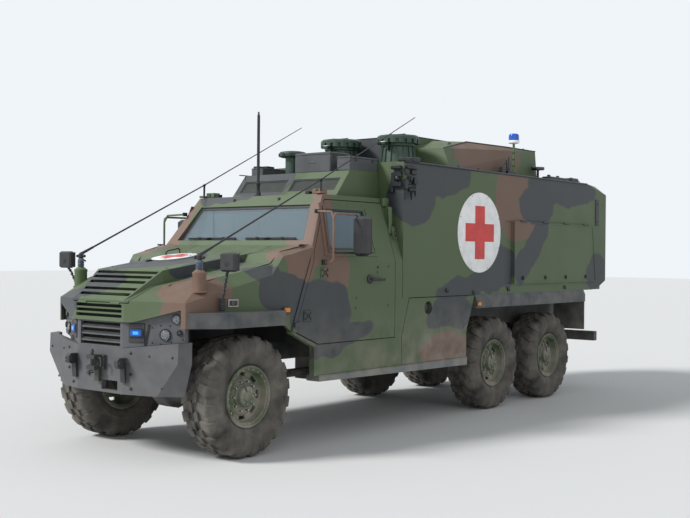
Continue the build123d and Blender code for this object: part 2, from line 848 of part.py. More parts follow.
with BuildPart() as door_fittings_left:
    with BuildSketch(floor_plane(mirror_low_z)):
        with Locations((at(mirror_x), mirror_y)):
            Rectangle(mirror_depth, mirror_width)
    extrude(amount=mirror_top_z - mirror_low_z)
    chamfer(door_fittings_left.edges().filter_by(Axis.Z), mirror_bevel)
    arm_y = mirror_y - 60
    with BuildSketch(floor_plane(mirror_low_z - 70)):
        with Locations((at(arm_x), arm_y)):
            RegularPolygon(arm_radius, 8)
    extrude(amount=mirror_top_z + 60 - mirror_low_z + 70)
    for z in (mirror_low_z + 20, mirror_top_z - 10):
        with Locations((at((mirror_x + arm_x) / 2), arm_y, z)):
            Box(mirror_x * -1 + arm_x, 2 * arm_radius, 2 * arm_radius)
    foot_low = mirror_low_z - 60
    with Locations((at(arm_x), (body_half + arm_y) / 2 + seat_gap, foot_low)):
        Box(60, arm_y - body_half, 30)
    foot_top = mirror_top_z + 40
    wall_y = wall_line(0, door_base_z, foot_top)[2][0]
    with Locations((at(arm_x) - 30, (wall_y + arm_y) / 2 + seat_gap, foot_top)):
        Box(100, arm_y - wall_y, 24)
    with Locations((at(handle_x), body_half + 20 + seat_gap, handle_z)):
        Box(220, 40, 40)
keep(door_fittings_left, "door_fittings_left")
with BuildPart() as door_fittings_right:
    mirror(door_fittings_left.part, about=Plane.XZ)
keep(door_fittings_right, "door_fittings_right")

# Cab tub: floor, firewall and the step up to the load space
firewall_x = -800
with BuildPart() as cab_tub:
    tub_side = [
        (at(firewall_x), cab_floor_z),
        (at(firewall_x), belt_z - 10),
        (at(firewall_x) - wall, belt_z - 10),
        (at(firewall_x) - wall, cab_floor_z + wall),
        (at(box_front_x), cab_floor_z + wall),
        (at(box_front_x), cab_floor_z),
    ]
    tub_y = body_half - wall - seat_gap
    extrude(outline(side_plane(tub_y), tub_side), amount=2 * tub_y)
keep(cab_tub, "cab_tub")

# Cab top: windscreen frame, header and the raised roof
glass_base_half = body_half - 187
glass_top_half = body_half - 305
glass_base_z = 1928
glass_top_z = 2292
raised_top_z = 2685
raised_front_x = -1498
raised_rake = 222
raised_half = 750
raised_wall = 40
vision_panel_width = 640
vision_panel_depth = 12

rake = atan2(glass_top_x - glass_base_x, glass_top_z - glass_base_z)
pane = [
    (glass_base_half, 0),
    (glass_top_half, hypot(glass_top_z - glass_base_z, glass_top_x - glass_base_x)),
]
pane_plane = Plane(
    origin=(at(glass_base_x), 0, glass_base_z), x_dir=(0, 1, 0), z_dir=(cos(rake), 0, -sin(rake))
)
pane_thickness = 36

with BuildPart() as cab_top:
    cowl_z = belt_z + 80
    front_rake = [
        (at(pillar_x(cowl_z)) - panel_gap, cowl_z),
        (at(pillar_x(cab_top_z)) - panel_gap, cab_top_z),
        (at(box_front_x), cab_top_z),
        (at(box_front_x), cab_top_z - wall),
        (at(pillar_x(cab_top_z)) - 150, cab_top_z - wall),
        (at(pillar_x(cowl_z)) - 150, cowl_z),
    ]
    extrude(outline(side_plane(body_half), front_rake), amount=2 * body_half)
    inside = wall_line(wall + seat_gap, sill_z, cab_top_z)
    section = both_ways([(inside[2][0], cab_top_z), (inside[1][0], inside[1][1]), (inside[0][0], 1700)])
    extrude(outline(cross_plane(at(box_front_x) - 10), section), amount=2000, mode=Mode.INTERSECT)
    extrude(
        outline(pane_plane, both_ways([(y + seat_gap, z + seat_gap * (1 if z > 0 else -1)) for y, z in pane])),
        amount=200,
        both=True,
        mode=Mode.SUBTRACT,
    )
    # raised roof, open to the cab below, with two blanked panels in its sloped front
    raised = [
        (at(raised_front_x), cab_top_z - 1),
        (at(raised_front_x - raised_rake), raised_top_z),
        (at(box_front_x), raised_top_z),
        (at(box_front_x), cab_top_z - 1),
    ]
    extrude(outline(side_plane(raised_half), raised), amount=2 * raised_half)
    hollow = [
        (at(raised_front_x) - 1.6 * raised_wall, cab_top_z - wall - 1),
        (at(raised_front_x) - 1.6 * raised_wall, cab_top_z - 1),
        (at(raised_front_x - raised_rake) - raised_wall, raised_top_z - raised_wall),
        (at(box_front_x) + raised_wall, raised_top_z - raised_wall),
        (at(box_front_x) + raised_wall, cab_top_z - wall - 1),
    ]
    hollow_half = raised_half - raised_wall
    extrude(outline(side_plane(hollow_half), hollow), amount=2 * hollow_half, mode=Mode.SUBTRACT)
    lean = atan2(raised_rake, raised_top_z - cab_top_z)
    front_middle = (at(raised_front_x - raised_rake / 2), 0, (cab_top_z + raised_top_z) / 2 - 8)
    front_face = Plane(origin=front_middle, x_dir=(0, 1, 0), z_dir=(cos(lean), 0, sin(lean)))
    with BuildSketch(front_face.offset(-vision_panel_depth)):
        with Locations((raised_half / 2 - 15, 0), (15 - raised_half / 2, 0)):
            Rectangle(vision_panel_width, 170)
    extrude(amount=4 * vision_panel_depth, mode=Mode.SUBTRACT)
keep(cab_top, "cab_top")

# Windscreen: one raked pane in the frame of the cab top
with BuildPart() as windscreen:
    extrude(outline(pane_plane, both_ways(pane)), amount=-pane_thickness)
keep(windscreen, "windscreen")

# Load space: sides with the stowage panels, tub, roof and the two rear doors
stowage_front_x = -4460
stowage_rear_x = -6560
stowage_base_z = 1480
stowage_top_z = 2240
stowage_proud = 22
rear_door_half = 800
rear_door_base_z = box_base_z + wall + seat_gap
rear_door_top_z = 2560
rear_plate = 50
chamfer_start_x = -6420
chamfer_drop = 126
chamfer_in = 170
inner_half = body_half - wall
tub_rear_x = -6400
passage_half = 280
load_pin_x = box_rear_x - 10
load_pin_y = rear_door_half + panel_gap / 2
load_pin_radius = 10
load_pin_length = 70
load_pin_levels = (1600, 1995, 2390)
passage_top_z = 2300
locker_recess_x = -4270
locker_recess_depth = 15
corner_plate = 18
corner_leg = 80


def cut_rear_corner():
    """Slants off the box's upper rear corner on the left."""
    a = Vector(at(chamfer_start_x), body_half, box_top_z)
    b = Vector(at(box_rear_x), body_half - chamfer_in, box_top_z)
    c = Vector(at(box_rear_x), body_half, box_top_z - chamfer_drop)
    up = (b - a).cross(c - a)
    up = up if up.Z > 0 else -up
    split(bisect_by=Plane(origin=a, z_dir=up), keep=Keep.BOTTOM)


with BuildPart() as box_sides:
    side_view = [
        (at(box_front_x) - panel_gap, box_base_z),
        (at(box_front_x) - panel_gap, box_top_z),
        (at(box_rear_x), box_top_z),
        (at(box_rear_x), box_base_z + 120),
        (at(box_rear_x) + 200, box_base_z + 40),
        (at(box_rear_x) + 420, box_base_z),
    ]
    extrude(outline(side_plane(body_half), side_view), amount=wall)
    stowage = [
        (at(stowage_front_x), stowage_base_z),
        (at(stowage_front_x), stowage_top_z),
        (at(stowage_rear_x), stowage_top_z),
        (at(stowage_rear_x) - 100, stowage_base_z),
    ]
    extrude(outline(side_plane(body_half + stowage_proud), stowage), amount=stowage_proud + 10)
    jamb = [
        (at(box_rear_x), inner_half),
        (at(box_rear_x) + rear_plate, inner_half),
        (at(box_rear_x) + rear_plate, rear_door_half + panel_gap),
        (at(box_rear_x), rear_door_half + panel_gap),
    ]
    extrude(outline(floor_plane(box_base_z + 120), jamb), amount=box_top_z - box_base_z - 120)
    for z in load_pin_levels:
        if z == load_pin_levels[0]:
            with Locations((at(load_pin_x), load_pin_y, z - load_pin_length / 2)):
                Cylinder(load_pin_radius, load_pin_length)
        else:
            with BuildSketch(floor_plane(z - load_pin_length)):
                with Locations((at(load_pin_x), load_pin_y)):
                    RegularPolygon(load_pin_radius, 8)
            extrude(amount=load_pin_length)
        with Locations((at(load_pin_x) + 10, load_pin_y + 15, z - load_pin_length / 2)):
            Box(20, 26, load_pin_length)
    # upright recess in front of the stowage panel
    with Locations(
        (
            at((locker_recess_x + stowage_front_x) / 2),
            body_half,
            (stowage_base_z + stowage_top_z) / 2,
        )
    ):
        Box(
            locker_recess_x - stowage_front_x - 20,
            2 * locker_recess_depth,
            stowage_top_z - stowage_base_z,
            mode=Mode.SUBTRACT,
        )
    # angle bar under the roof that closes the slanted corner
    roof_under = box_top_z - wall - seat_gap
    angle_bar = [
        (inner_half + 1, roof_under),
        (inner_half - chamfer_in + wall - 10, roof_under),
        (inner_half - chamfer_in + wall - 10, roof_under - corner_plate),
        (inner_half - corner_plate, roof_under - corner_plate),
        (inner_half - corner_plate, roof_under - corner_leg),
        (inner_half + 1, roof_under - corner_leg),
    ]
    bar_length = chamfer_start_x - box_rear_x - rear_plate
    extrude(outline(cross_plane(at(chamfer_start_x)), angle_bar), amount=-bar_length)
    cut_rear_corner()
    mirror(about=Plane.XZ)
keep(box_sides, "box_sides")

with BuildPart() as box_roof:
    section = [(0, box_top_z), (inner_half, box_top_z), (inner_half, box_top_z - wall), (0, box_top_z - wall)]
    roof_length = box_front_x - panel_gap - wall - box_rear_x - rear_plate
    extrude(outline(cross_plane(at(box_rear_x) + rear_plate), section), amount=roof_length)
    cut_rear_corner()
    mirror(about=Plane.XZ)
keep(box_roof, "box_roof")

with BuildPart() as box_tub:
    points = [
        (inner_half, box_base_z),
        (inner_half, box_base_z + wall),
        (tub_half - wall, box_base_z + wall),
        (tub_half - wall, cab_floor_z + wall),
        (wall - tub_half, cab_floor_z + wall),
        (wall - tub_half, box_base_z + wall),
        (-inner_half, box_base_z + wall),
        (-inner_half, box_base_z),
        (-tub_half, box_base_z),
        (-tub_half, cab_floor_z),
        (tub_half, cab_floor_z),
        (tub_half, box_base_z),
    ]
    extrude(
        outline(cross_plane(at(tub_rear_x)), points), amount=box_front_x - panel_gap - wall - tub_rear_x
    )
    closing = [(tub_half, cab_floor_z), (tub_half, box_base_z + wall)]
    extrude(outline(cross_plane(at(tub_rear_x)), both_ways(closing)), amount=-wall)
    platform = [(inner_half, box_base_z), (inner_half, box_base_z + wall)]
    platform_x = box_rear_x + rear_plate
    extrude(outline(cross_plane(at(platform_x)), both_ways(platform)), amount=tub_rear_x - platform_x)
    bulkhead = [(inner_half, box_base_z), (inner_half, box_top_z)]
    bulkhead_x = box_front_x - panel_gap - wall
    extrude(outline(cross_plane(at(bulkhead_x)), both_ways(bulkhead)), amount=wall)
    passage = [(passage_half, cab_floor_z + wall), (passage_half, passage_top_z)]
    extrude(
        outline(cross_plane(at(bulkhead_x)), both_ways(passage)), amount=wall, mode=Mode.SUBTRACT
    )
    head = [
        (rear_door_half + panel_gap, rear_door_top_z + panel_gap),
        (rear_door_half + panel_gap, box_top_z),
    ]
    extrude(outline(cross_plane(at(box_rear_x)), both_ways(head)), amount=rear_plate)
keep(box_tub, "box_tub")

with BuildPart() as rear_door_left:
    door_middle_y = rear_door_half / 2 + panel_gap / 4
    door_middle_z = (rear_door_base_z + rear_door_top_z) / 2
    with Locations((at(box_rear_x) + rear_plate / 2, door_middle_y, door_middle_z)):
        Box(rear_plate, rear_door_half - panel_gap / 2, rear_door_top_z - rear_door_base_z)
    with Locations((at(box_rear_x) - 15, 110, 1850)):
        Box(30, 40, 240)
    for z in load_pin_levels:
        with BuildSketch(floor_plane(z + seat_gap)):
            with Locations((at(load_pin_x), load_pin_y)):
                RegularPolygon(load_pin_radius, 8)
        extrude(amount=load_pin_length)
        with Locations((at(load_pin_x) + 10, load_pin_y - 15, z + seat_gap + load_pin_length / 2)):
            Box(20, 26, load_pin_length)
keep(rear_door_left, "rear_door_left")
with BuildPart() as rear_door_right:
    mirror(rear_door_left.part, about=Plane.XZ)
keep(rear_door_right, "rear_door_right")

# Skirts between the axles, with the filler hole and the side step
filler_x = -2680
filler_z = 1250
filler_radius = 72
step_base_z = 580
step_top_z = sill_z - seat_gap
with BuildPart() as skirts:
    skirt = [
        (at(skirt_front_x), box_base_z - panel_gap),
        (at(skirt_rear_x) - 170, box_base_z - panel_gap),
        (at(skirt_rear_x), door_base_z),
        (at(skirt_rear_x), sill_z),
        (at(box_front_x), sill_z),
        (at(box_front_x), door_base_z),
    ]
    extrude(outline(side_plane(body_half), skirt), amount=wall)
    with BuildSketch(side_plane(body_half)):
        with Locations((at(filler_x), filler_z)):
            RegularPolygon(filler_radius, 16)
    extrude(amount=wall, mode=Mode.SUBTRACT)
    step = [
        (at(-860), step_base_z + 30),
        (at(-860), step_top_z),
        (at(skirt_rear_x), step_top_z),
        (at(skirt_rear_x), step_base_z),
    ]
    extrude(outline(side_plane(body_half + 14), step), amount=160)
    mirror(about=Plane.XZ)
keep(skirts, "skirts")

# Flares over the wheels, and the mud flaps behind
flare_front_x = 626
flare_bend_x = 357
flare_rear_x = -380
flare_base_z = 1168
flare_top_z = 1304
flare_plate = 22
rear_flare_front_x = skirt_rear_x - 172
rear_flare_rear_x = -6330
rear_flare_base_z = 1215
flap_thickness = 16
flap_inner_y = 640
flap_base_z = 840
with BuildPart() as flares:
    # over the front wheel: a shelf whose front corner is cut off slantwise
    shelf = [
        (flare_front_x, hood_edge(flare_front_x) + seat_gap),
        (flare_bend_x, flare_out - 4),
        (flare_rear_x, flare_out),
        (flare_rear_x, hood_edge(flare_rear_x) + seat_gap),
    ]
    extrude(
        outline(floor_plane(flare_base_z), [(at(x), y) for x, y in shelf]),
        amount=flare_top_z - flare_base_z,
    )
    under = [
        (flare_front_x - 60, hood_edge(flare_front_x - 60) - 20),
        (flare_bend_x - flare_plate / 2, flare_out - 4 - flare_plate),
        (flare_rear_x - 1, flare_out - flare_plate),
        (flare_rear_x - 1, hood_edge(flare_rear_x) - 20),
    ]
    extrude(
        outline(floor_plane(flare_base_z - 1), [(at(x), y) for x, y in under]),
        amount=flare_top_z - flare_plate - flare_base_z,
        mode=Mode.SUBTRACT,
    )
    rear_flare = [
        (body_half - wall + 2, box_base_z - seat_gap),
        (body_half - 2, box_base_z - seat_gap),
        (flare_out, 1310),
        (flare_out, rear_flare_base_z),
        (body_half - wall + 2, rear_flare_base_z),
    ]
    flap_x = rear_flare_rear_x - flap_thickness
    extrude(outline(cross_plane(at(flap_x)), rear_flare), amount=rear_flare_front_x - flap_x)
    flap = [
        (flap_inner_y, rear_flare_base_z),
        (flare_out - 10, rear_flare_base_z),
        (flare_out - 10, flap_base_z),
        (flap_inner_y, flap_base_z),
    ]
    extrude(outline(cross_plane(at(flap_x)), flap), amount=flap_thickness)
    mirror(about=Plane.XZ)
keep(flares, "flares")

# Raised roof module with slanting corners
module_front_x = -3300
module_rear_x = -5450
module_half = 860
module_top_z = 3190
module_lean = 60

with BuildPart() as roof_box:
    base_plan = [
        (module_front_x, 300),
        (module_front_x - 520, module_half),
        (module_rear_x + 640, module_half),
        (module_rear_x, 420),
    ]
    with BuildSketch(floor_plane(box_top_z)):
        add(outline(floor_plane(box_top_z), full_plan(base_plan)))
    extrude(amount=module_top_z - box_top_z, taper=8)
keep(roof_box, "roof_box")

# Roof gear: two raised hatches with notched lids, bins on the cab roof, a vent and the beacon
hatch_spots = {"left": (-3000, 420), "right": (-3000, -420)}
hatch_sides = 16
hatch_foot_radius = 205
hatch_neck_radius = 175
hatch_rise = 280
lid_radius = 245
lid_rise = 92
notch_count = 16
notch_width = 34
notch_depth = 26
hatch_pin_reach = 285
hatch_pin_z = box_top_z + hatch_rise + 5
hatch_pin_radius = 8
hatch_pin_length = 60
beacon_x = -4700
beacon_y = 940
beacon_top_z = 3330
# bins on the cab roof: middle station, y, length, width, height
roof_bins = ((-1957, 660, 470, 178, 152), (-1957, -660, 470, 178, 152), (-1930, 200, 340, 500, 215))
vent_x = -1960
vent_y = -260
vent_top_z = 2950
with BuildPart() as roof_gear:
    for x, y in hatch_spots.values():
        foot = facets(floor_plane(box_top_z), hatch_foot_radius, hatch_sides).moved(Location((at(x), y, 0)))
        neck = facets(floor_plane(box_top_z + hatch_rise), hatch_neck_radius, hatch_sides)
        loft([foot, neck.moved(Location((at(x), y, 0)))], ruled=True)
        with BuildSketch(floor_plane(box_top_z + hatch_rise)):
            with Locations((at(x), y)):
                RegularPolygon(hatch_neck_radius - 30, hatch_sides)
        extrude(amount=-hatch_rise + 20, mode=Mode.SUBTRACT)
        # hinge barrel on a bracket in front of the neck
        pin_x = at(x) + hatch_pin_reach
        with BuildSketch(side_plane(y + hatch_pin_length / 2)):
            with Locations((pin_x, hatch_pin_z)):
                Circle(hatch_pin_radius)
        extrude(amount=hatch_pin_length)
        bracket = [
            (pin_x + hatch_pin_radius, hatch_pin_z),
            (pin_x - hatch_pin_radius, hatch_pin_z),
            (pin_x - hatch_pin_radius, hatch_pin_z - 11),
            (at(x) + hatch_neck_radius - 10, hatch_pin_z - 11),
            (at(x) + hatch_neck_radius - 10, hatch_pin_z - 60),
            (pin_x + hatch_pin_radius, hatch_pin_z - 30),
        ]
        extrude(outline(side_plane(y + hatch_pin_length / 2 - 2), bracket), amount=hatch_pin_length - 4)
    for x, y, length, width, height in roof_bins:
        with Locations((at(x), y, raised_top_z + seat_gap + height / 2)):
            Box(length, width, height)
    # mushroom vent on the cab roof
    with BuildSketch(floor_plane(raised_top_z + seat_gap)):
        with Locations((at(vent_x), vent_y)):
            RegularPolygon(90, 12)
    extrude(amount=vent_top_z - raised_top_z - 40)
    with BuildSketch(floor_plane(vent_top_z - 60)):
        with Locations((at(vent_x), vent_y)):
            RegularPolygon(155, 12)
    extrude(amount=60)
    # beacon on its pole
    for radius, low_z, top_z in (
        (14, box_top_z + seat_gap, beacon_top_z - 90),
        (62, beacon_top_z - 115, beacon_top_z - 88),
        (54, beacon_top_z - 88, beacon_top_z),
    ):
        with BuildSketch(floor_plane(low_z)):
            with Locations((at(beacon_x), beacon_y)):
                RegularPolygon(radius, 10)
        extrude(amount=top_z - low_z)
keep(roof_gear, "roof_gear")

for hand, (x, y) in hatch_spots.items():
    with BuildPart() as hatch_lid:
        lid_base_z = box_top_z + hatch_rise + seat_gap
        with BuildSketch(floor_plane(lid_base_z)):
            with Locations((at(x), y)):
                RegularPolygon(lid_radius, hatch_sides)
        extrude(amount=lid_rise)
        chamfer(hatch_lid.faces().sort_by(Axis.Z)[-1].edges(), 18)
        with Locations((at(x), y, lid_base_z)):
            with PolarLocations(lid_radius, notch_count, start_angle=180 / notch_count):
                Box(2 * notch_depth, notch_width, lid_rise, mode=Mode.SUBTRACT)
        # two hinge eyes beside the barrel
        pin_x = at(x) + hatch_pin_reach
        eye_length = hatch_pin_length / 2
        web_length = hatch_pin_reach - lid_radius + 30
        for end in (1, -1):
            near_y = y + end * (hatch_pin_length / 2 + seat_gap + eye_length / 2)
            with BuildSketch(side_plane(near_y + eye_length / 2)):
                with Locations((pin_x, hatch_pin_z)):
                    RegularPolygon(hatch_pin_radius, 8)
            extrude(amount=eye_length)
            with Locations((pin_x - web_length / 2, near_y, hatch_pin_z + 4)):
                Box(web_length, eye_length, 8)
    keep(hatch_lid, f"hatch_lid_{hand}")

# Front mirrors, aerial pots with their rods, and the upright aerial
pot_x = 442
pot_y = 831
pot_radius = 46
pot_foot_z = 1440
pot_top_z = 1670
whip_foot_z = 1800
whip_clip_x = -1170
whip_clip_z = 2553
whip_tip_x = -2749
whip_tip_z = 3329
whip_radius = 7
front_mirror_x = 376
front_mirror_z = 1742
stalk_foot_x = 315
stalk_foot_z = 1375
upright_x = -1300
upright_y = -150
upright_top_z = 3310


def rod(start, end, radius):
    """Many-sided rod between two points of the truck's frame."""
    run = end - start
    extrude(facets(Plane(origin=start, z_dir=run), radius, 6), amount=run.length)


with BuildPart() as mirrors_aerials:
    for side in (1, -1):
        with BuildSketch(floor_plane(pot_top_z)):
            with Locations((at(pot_x), side * pot_y)):
                RegularPolygon(pot_radius, 12)
        extrude(amount=pot_foot_z - pot_top_z)
    add(hood_outer.moved(Location((0, 0, seat_gap))), mode=Mode.SUBTRACT)
    for side in (1, -1):
        pot_top = Vector(at(pot_x), side * pot_y, pot_top_z - 5)
        whip_foot = Vector(at(pot_x), side * pot_y, whip_foot_z)
        whip_clip = Vector(at(whip_clip_x), side * pot_y, whip_clip_z)
        rod(pot_top, whip_foot, 20)
        rod(whip_foot - Vector(0, 0, 10), whip_clip, whip_radius)
        rod(whip_clip, Vector(at(whip_tip_x), side * pot_y, whip_tip_z), whip_radius * 0.7)
        clip_foot = Vector(at(whip_clip_x), side * pot_y, cab_top_z + seat_gap)
        rod(clip_foot, whip_clip + Vector(0, 0, 8), 12)
        with Locations((at(front_mirror_x), side * (body_half + 56), front_mirror_z)):
            Box(90, 190, 170)
        foot_y = hood_edge(stalk_foot_x - 25) + seat_gap
        with Locations((at(stalk_foot_x), side * (foot_y + 25), stalk_foot_z)):
            Box(50, 50, 110)
        foot = Vector(at(stalk_foot_x), side * (foot_y + 30), stalk_foot_z + 40)
        head = Vector(at(front_mirror_x), side * (body_half + 40), front_mirror_z - 60)
        rod(foot, head, 12)
    with BuildSketch(floor_plane(cab_top_z + seat_gap)):
        with Locations((at(upright_x), upright_y)):
            RegularPolygon(20, 8)
    extrude(amount=upright_top_z - cab_top_z)
keep(mirrors_aerials, "mirrors_aerials")

# Cab interior: two seats, the dashboard and the steering wheel
with BuildPart() as cab_interior:
    for y in (470, -470):
        with Locations((at(-1560), y, cab_floor_z + wall + 190)):
            Box(480, 480, 380)
        with Locations((at(-1800), y, cab_floor_z + wall + 560)):
            Box(120, 480, 700)
    with Locations((at(firewall_x) - wall - 110, 0, 1560)):
        Box(220, 1700, 260)
    wheel_plane = Plane(origin=(at(-1230), 470, 1660), z_dir=(-cos(radians(35)), 0, sin(radians(35))))
    with BuildSketch(wheel_plane):
        RegularPolygon(210, 16)
        RegularPolygon(184, 16, mode=Mode.SUBTRACT)
        Rectangle(390, 36)
    extrude(amount=26)
    with BuildSketch(wheel_plane):
        RegularPolygon(30, 8)
    extrude(amount=-260)
keep(cab_interior, "cab_interior")
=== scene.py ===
"""Looks of the military ambulance truck: camouflage paint, tyres, glass, lamps and small fittings.

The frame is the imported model's: X forward, Y to the truck's left, Z up. Shapes are written in millimetres,
with X as the station measured from the front axle, and in_frame() turns them into metres of the frame. The
camera, the stage and the places in materials are written in metres.
"""
import math

import bmesh
import bpy
from mathutils import Matrix, Vector


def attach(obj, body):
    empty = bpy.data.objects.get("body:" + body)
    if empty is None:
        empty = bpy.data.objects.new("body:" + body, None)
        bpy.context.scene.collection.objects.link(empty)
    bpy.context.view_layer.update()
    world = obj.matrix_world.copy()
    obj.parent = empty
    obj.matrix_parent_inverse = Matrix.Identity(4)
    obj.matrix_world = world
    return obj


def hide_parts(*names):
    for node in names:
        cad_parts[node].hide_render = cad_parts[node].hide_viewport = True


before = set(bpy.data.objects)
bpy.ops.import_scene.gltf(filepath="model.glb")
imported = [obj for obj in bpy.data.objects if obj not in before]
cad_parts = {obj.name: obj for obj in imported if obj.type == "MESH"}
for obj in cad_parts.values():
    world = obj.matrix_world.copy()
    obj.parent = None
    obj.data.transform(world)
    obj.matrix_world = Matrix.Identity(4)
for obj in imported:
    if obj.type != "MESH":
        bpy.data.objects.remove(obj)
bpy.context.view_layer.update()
scene = bpy.context.scene
scene.view_settings.view_transform = "Standard"

MM = 0.001
AXLE_X = 3.06
# Places that everything else is worked out from, in millimetres
BODY_HALF = 1080
BELT_Z = 1758
CAB_TOP_Z = 2412
CAB_LEAN = 212
BOX_TOP_Z = 2800
BOX_REAR = -7000
# Hair's breadth between a fitting and the face that it lies on
LIFT = 0.5
SIDES = {"left": 1, "right": -1}
FORE = Vector((1, 0, 0))
LEFT = Vector((0, 1, 0))
UP = Vector((0, 0, 1))
BACK = -FORE


def at(station):
    """X in metres of a station in metres."""
    return AXLE_X + station


def vec(x, y, z):
    return Vector((x, y, z))


def in_frame(point, origin=AXLE_X, side=1):
    """Place in metres of the frame, from station, y and z in millimetres."""
    x, y, z = point
    return vec(origin + x * MM, side * y * MM, z * MM)


def leaning_y(z):
    """Half width of the cab's wall above the belt."""
    return BODY_HALF - (z - BELT_Z) * CAB_LEAN / (CAB_TOP_Z - BELT_Z)


# Camera, from the photo's point of view
CAMERA_PLACE = Vector((9.831, 7.613, 1.815))
CAMERA_YAW = math.radians(39.17)
CAMERA_PITCH = math.radians(-0.234)
CAMERA_ROLL = math.radians(0.519)
SENSOR = 36.0
LENS = 55.344


def make_camera():
    forward = Vector((
        -math.cos(CAMERA_YAW) * math.cos(CAMERA_PITCH),
        -math.sin(CAMERA_YAW) * math.cos(CAMERA_PITCH),
        math.sin(CAMERA_PITCH),
    ))
    level_right = forward.cross(UP).normalized()
    level_up = level_right.cross(forward)
    right = math.cos(CAMERA_ROLL) * level_right + math.sin(CAMERA_ROLL) * level_up
    lens = bpy.data.cameras.new("camera")
    lens.sensor_width = SENSOR
    lens.lens = LENS
    camera = bpy.data.objects.new("camera", lens)
    turn = Matrix((right, right.cross(forward), -forward)).transposed().to_4x4()
    camera.matrix_world = Matrix.Translation(CAMERA_PLACE) @ turn
    scene.collection.objects.link(camera)
    scene.camera = camera


class Nodes:
    """A node tree; each method adds a node or two and returns the output."""

    def __init__(self, tree):
        self.tree = tree

    def add(self, kind, **values):
        node = self.tree.nodes.new(kind)
        for key, value in values.items():
            setattr(node, key, value)
        return node

    def feed(self, socket, value):
        """Puts a number, a colour or another node's output into a socket."""
        if isinstance(value, (int, float)):
            socket.default_value = value
        elif isinstance(value, tuple):
            socket.default_value = (*value, 1) if len(value) == 3 and socket.type == "RGBA" else value
        else:
            self.tree.links.new(value, socket)

    def maths(self, operation, a, b, clamp=False):
        node = self.add("ShaderNodeMath", operation=operation, use_clamp=clamp)
        self.feed(node.inputs[0], a)
        self.feed(node.inputs[1], b)
        return node.outputs[0]

    def plus(self, a, b, clamp=False):
        return self.maths("ADD", a, b, clamp)

    def less(self, a, b, clamp=False):
        return self.maths("SUBTRACT", a, b, clamp)

    def times(self, a, b, clamp=False):
        return self.maths("MULTIPLY", a, b, clamp)

    def below(self, a, b):
        return self.maths("LESS_THAN", a, b)

    def above(self, a, b):
        return self.maths("GREATER_THAN", a, b)

    def most(self, a, b):
        return self.maths("MAXIMUM", a, b)

    def absolute(self, a):
        return self.maths("ABSOLUTE", a, 0.0)


class Paint(Nodes):
    """A material, with the place on the object as its coordinates."""

    def __init__(self, name):
        self.material = bpy.data.materials.new(name)
        self.material.use_nodes = True
        super().__init__(self.material.node_tree)
        self.shader = self.tree.nodes["Principled BSDF"]
        self.place = self.add("ShaderNodeTexCoord").outputs["Object"]
        self.x, self.y, self.z = self.axes(self.place)

    def set(self, **values):
        """Sets the shader's sockets, named with _ for a space."""
        for key, value in values.items():
            self.feed(self.shader.inputs[key.replace("_", " ")], value)

    def mix(self, share, a, b):
        node = self.add("ShaderNodeMix", data_type="RGBA")
        for socket, value in ((0, share), (6, a), (7, b)):
            self.feed(node.inputs[socket], value)
        return node.outputs[2]

    def ramp(self, value, low, high):
        """0 below low and 1 above high, or the other way round where high is the smaller."""
        node = self.add("ShaderNodeMapRange", clamp=True)
        for socket, entry in enumerate((value, low, high)):
            self.feed(node.inputs[socket], entry)
        return node.outputs[0]

    def axes(self, vector):
        split = self.add("ShaderNodeSeparateXYZ")
        self.feed(split.inputs[0], vector)
        return split.outputs

    def noise(self, scale, detail=3.0, output="Fac"):
        node = self.add("ShaderNodeTexNoise")
        for socket, value in (("Vector", self.place), ("Scale", scale), ("Detail", detail)):
            self.feed(node.inputs[socket], value)
        return node.outputs[output]

    def bump(self, height, strength, distance=0.001):
        node = self.add("ShaderNodeBump")
        for socket, value in (("Strength", strength), ("Distance", distance), ("Height", height)):
            self.feed(node.inputs[socket], value)
        self.set(Normal=node.outputs[0])

    def shifted(self, place, vector, scale=1.0):
        """The place moved by a vector, or by a node's colour."""
        node = self.add("ShaderNodeVectorMath", operation="MULTIPLY_ADD")
        self.feed(node.inputs[0], vector)
        node.inputs[1].default_value = (scale, scale, scale)
        self.feed(node.inputs[2], place)
        return node.outputs[0]

    def dusty(self, colour, low_z, high_z, amount):
        """The colour with dust that thickens from high_z down to low_z and lies on what faces up."""
        grain = self.ramp(self.noise(5.0, 7.0), 0.30, 0.72)
        share = self.times(self.times(self.ramp(self.z, high_z, low_z), grain), amount, clamp=True)
        facing = self.axes(self.add("ShaderNodeNewGeometry").outputs["Normal"])[2]
        settled = self.times(self.ramp(facing, 0.5, 1.0), self.ramp(self.noise(11.0, 5.0), 0.4, 0.8))
        share = self.plus(share, self.times(settled, SETTLED_DUST), clamp=True)
        return self.mix(share, colour, DUST)

    def inside(self, place, patches):
        """1 inside any of the patches and 0 outside them all."""
        best = None
        for station, y, z, along, across, high, turn in patches:
            mapping = self.add("ShaderNodeMapping", vector_type="TEXTURE")
            self.feed(mapping.inputs[0], place)
            mapping.inputs["Location"].default_value = (at(station), y, z)
            mapping.inputs["Rotation"].default_value = (0, math.radians(turn), 0)
            mapping.inputs["Scale"].default_value = (along, across, high)
            length = self.add("ShaderNodeVectorMath", operation="LENGTH")
            self.feed(length.inputs[0], mapping.outputs[0])
            reach = length.outputs["Value"]
            best = reach if best is None else self.maths("MINIMUM", best, reach)
        return self.ramp(best, 1 + PATCH_EDGE, 1 - PATCH_EDGE)


GREEN = (0.074, 0.112, 0.048)
BROWN = (0.165, 0.096, 0.068)
BLACK = (0.034, 0.040, 0.047)
DUST = (0.36, 0.325, 0.27)
FADED = (0.20, 0.21, 0.17)
UNDERSIDE = (0.030, 0.032, 0.034)
STEP_METAL = (0.15, 0.17, 0.185)
LINING = (0.46, 0.47, 0.45)
SETTLED_DUST = 0.16
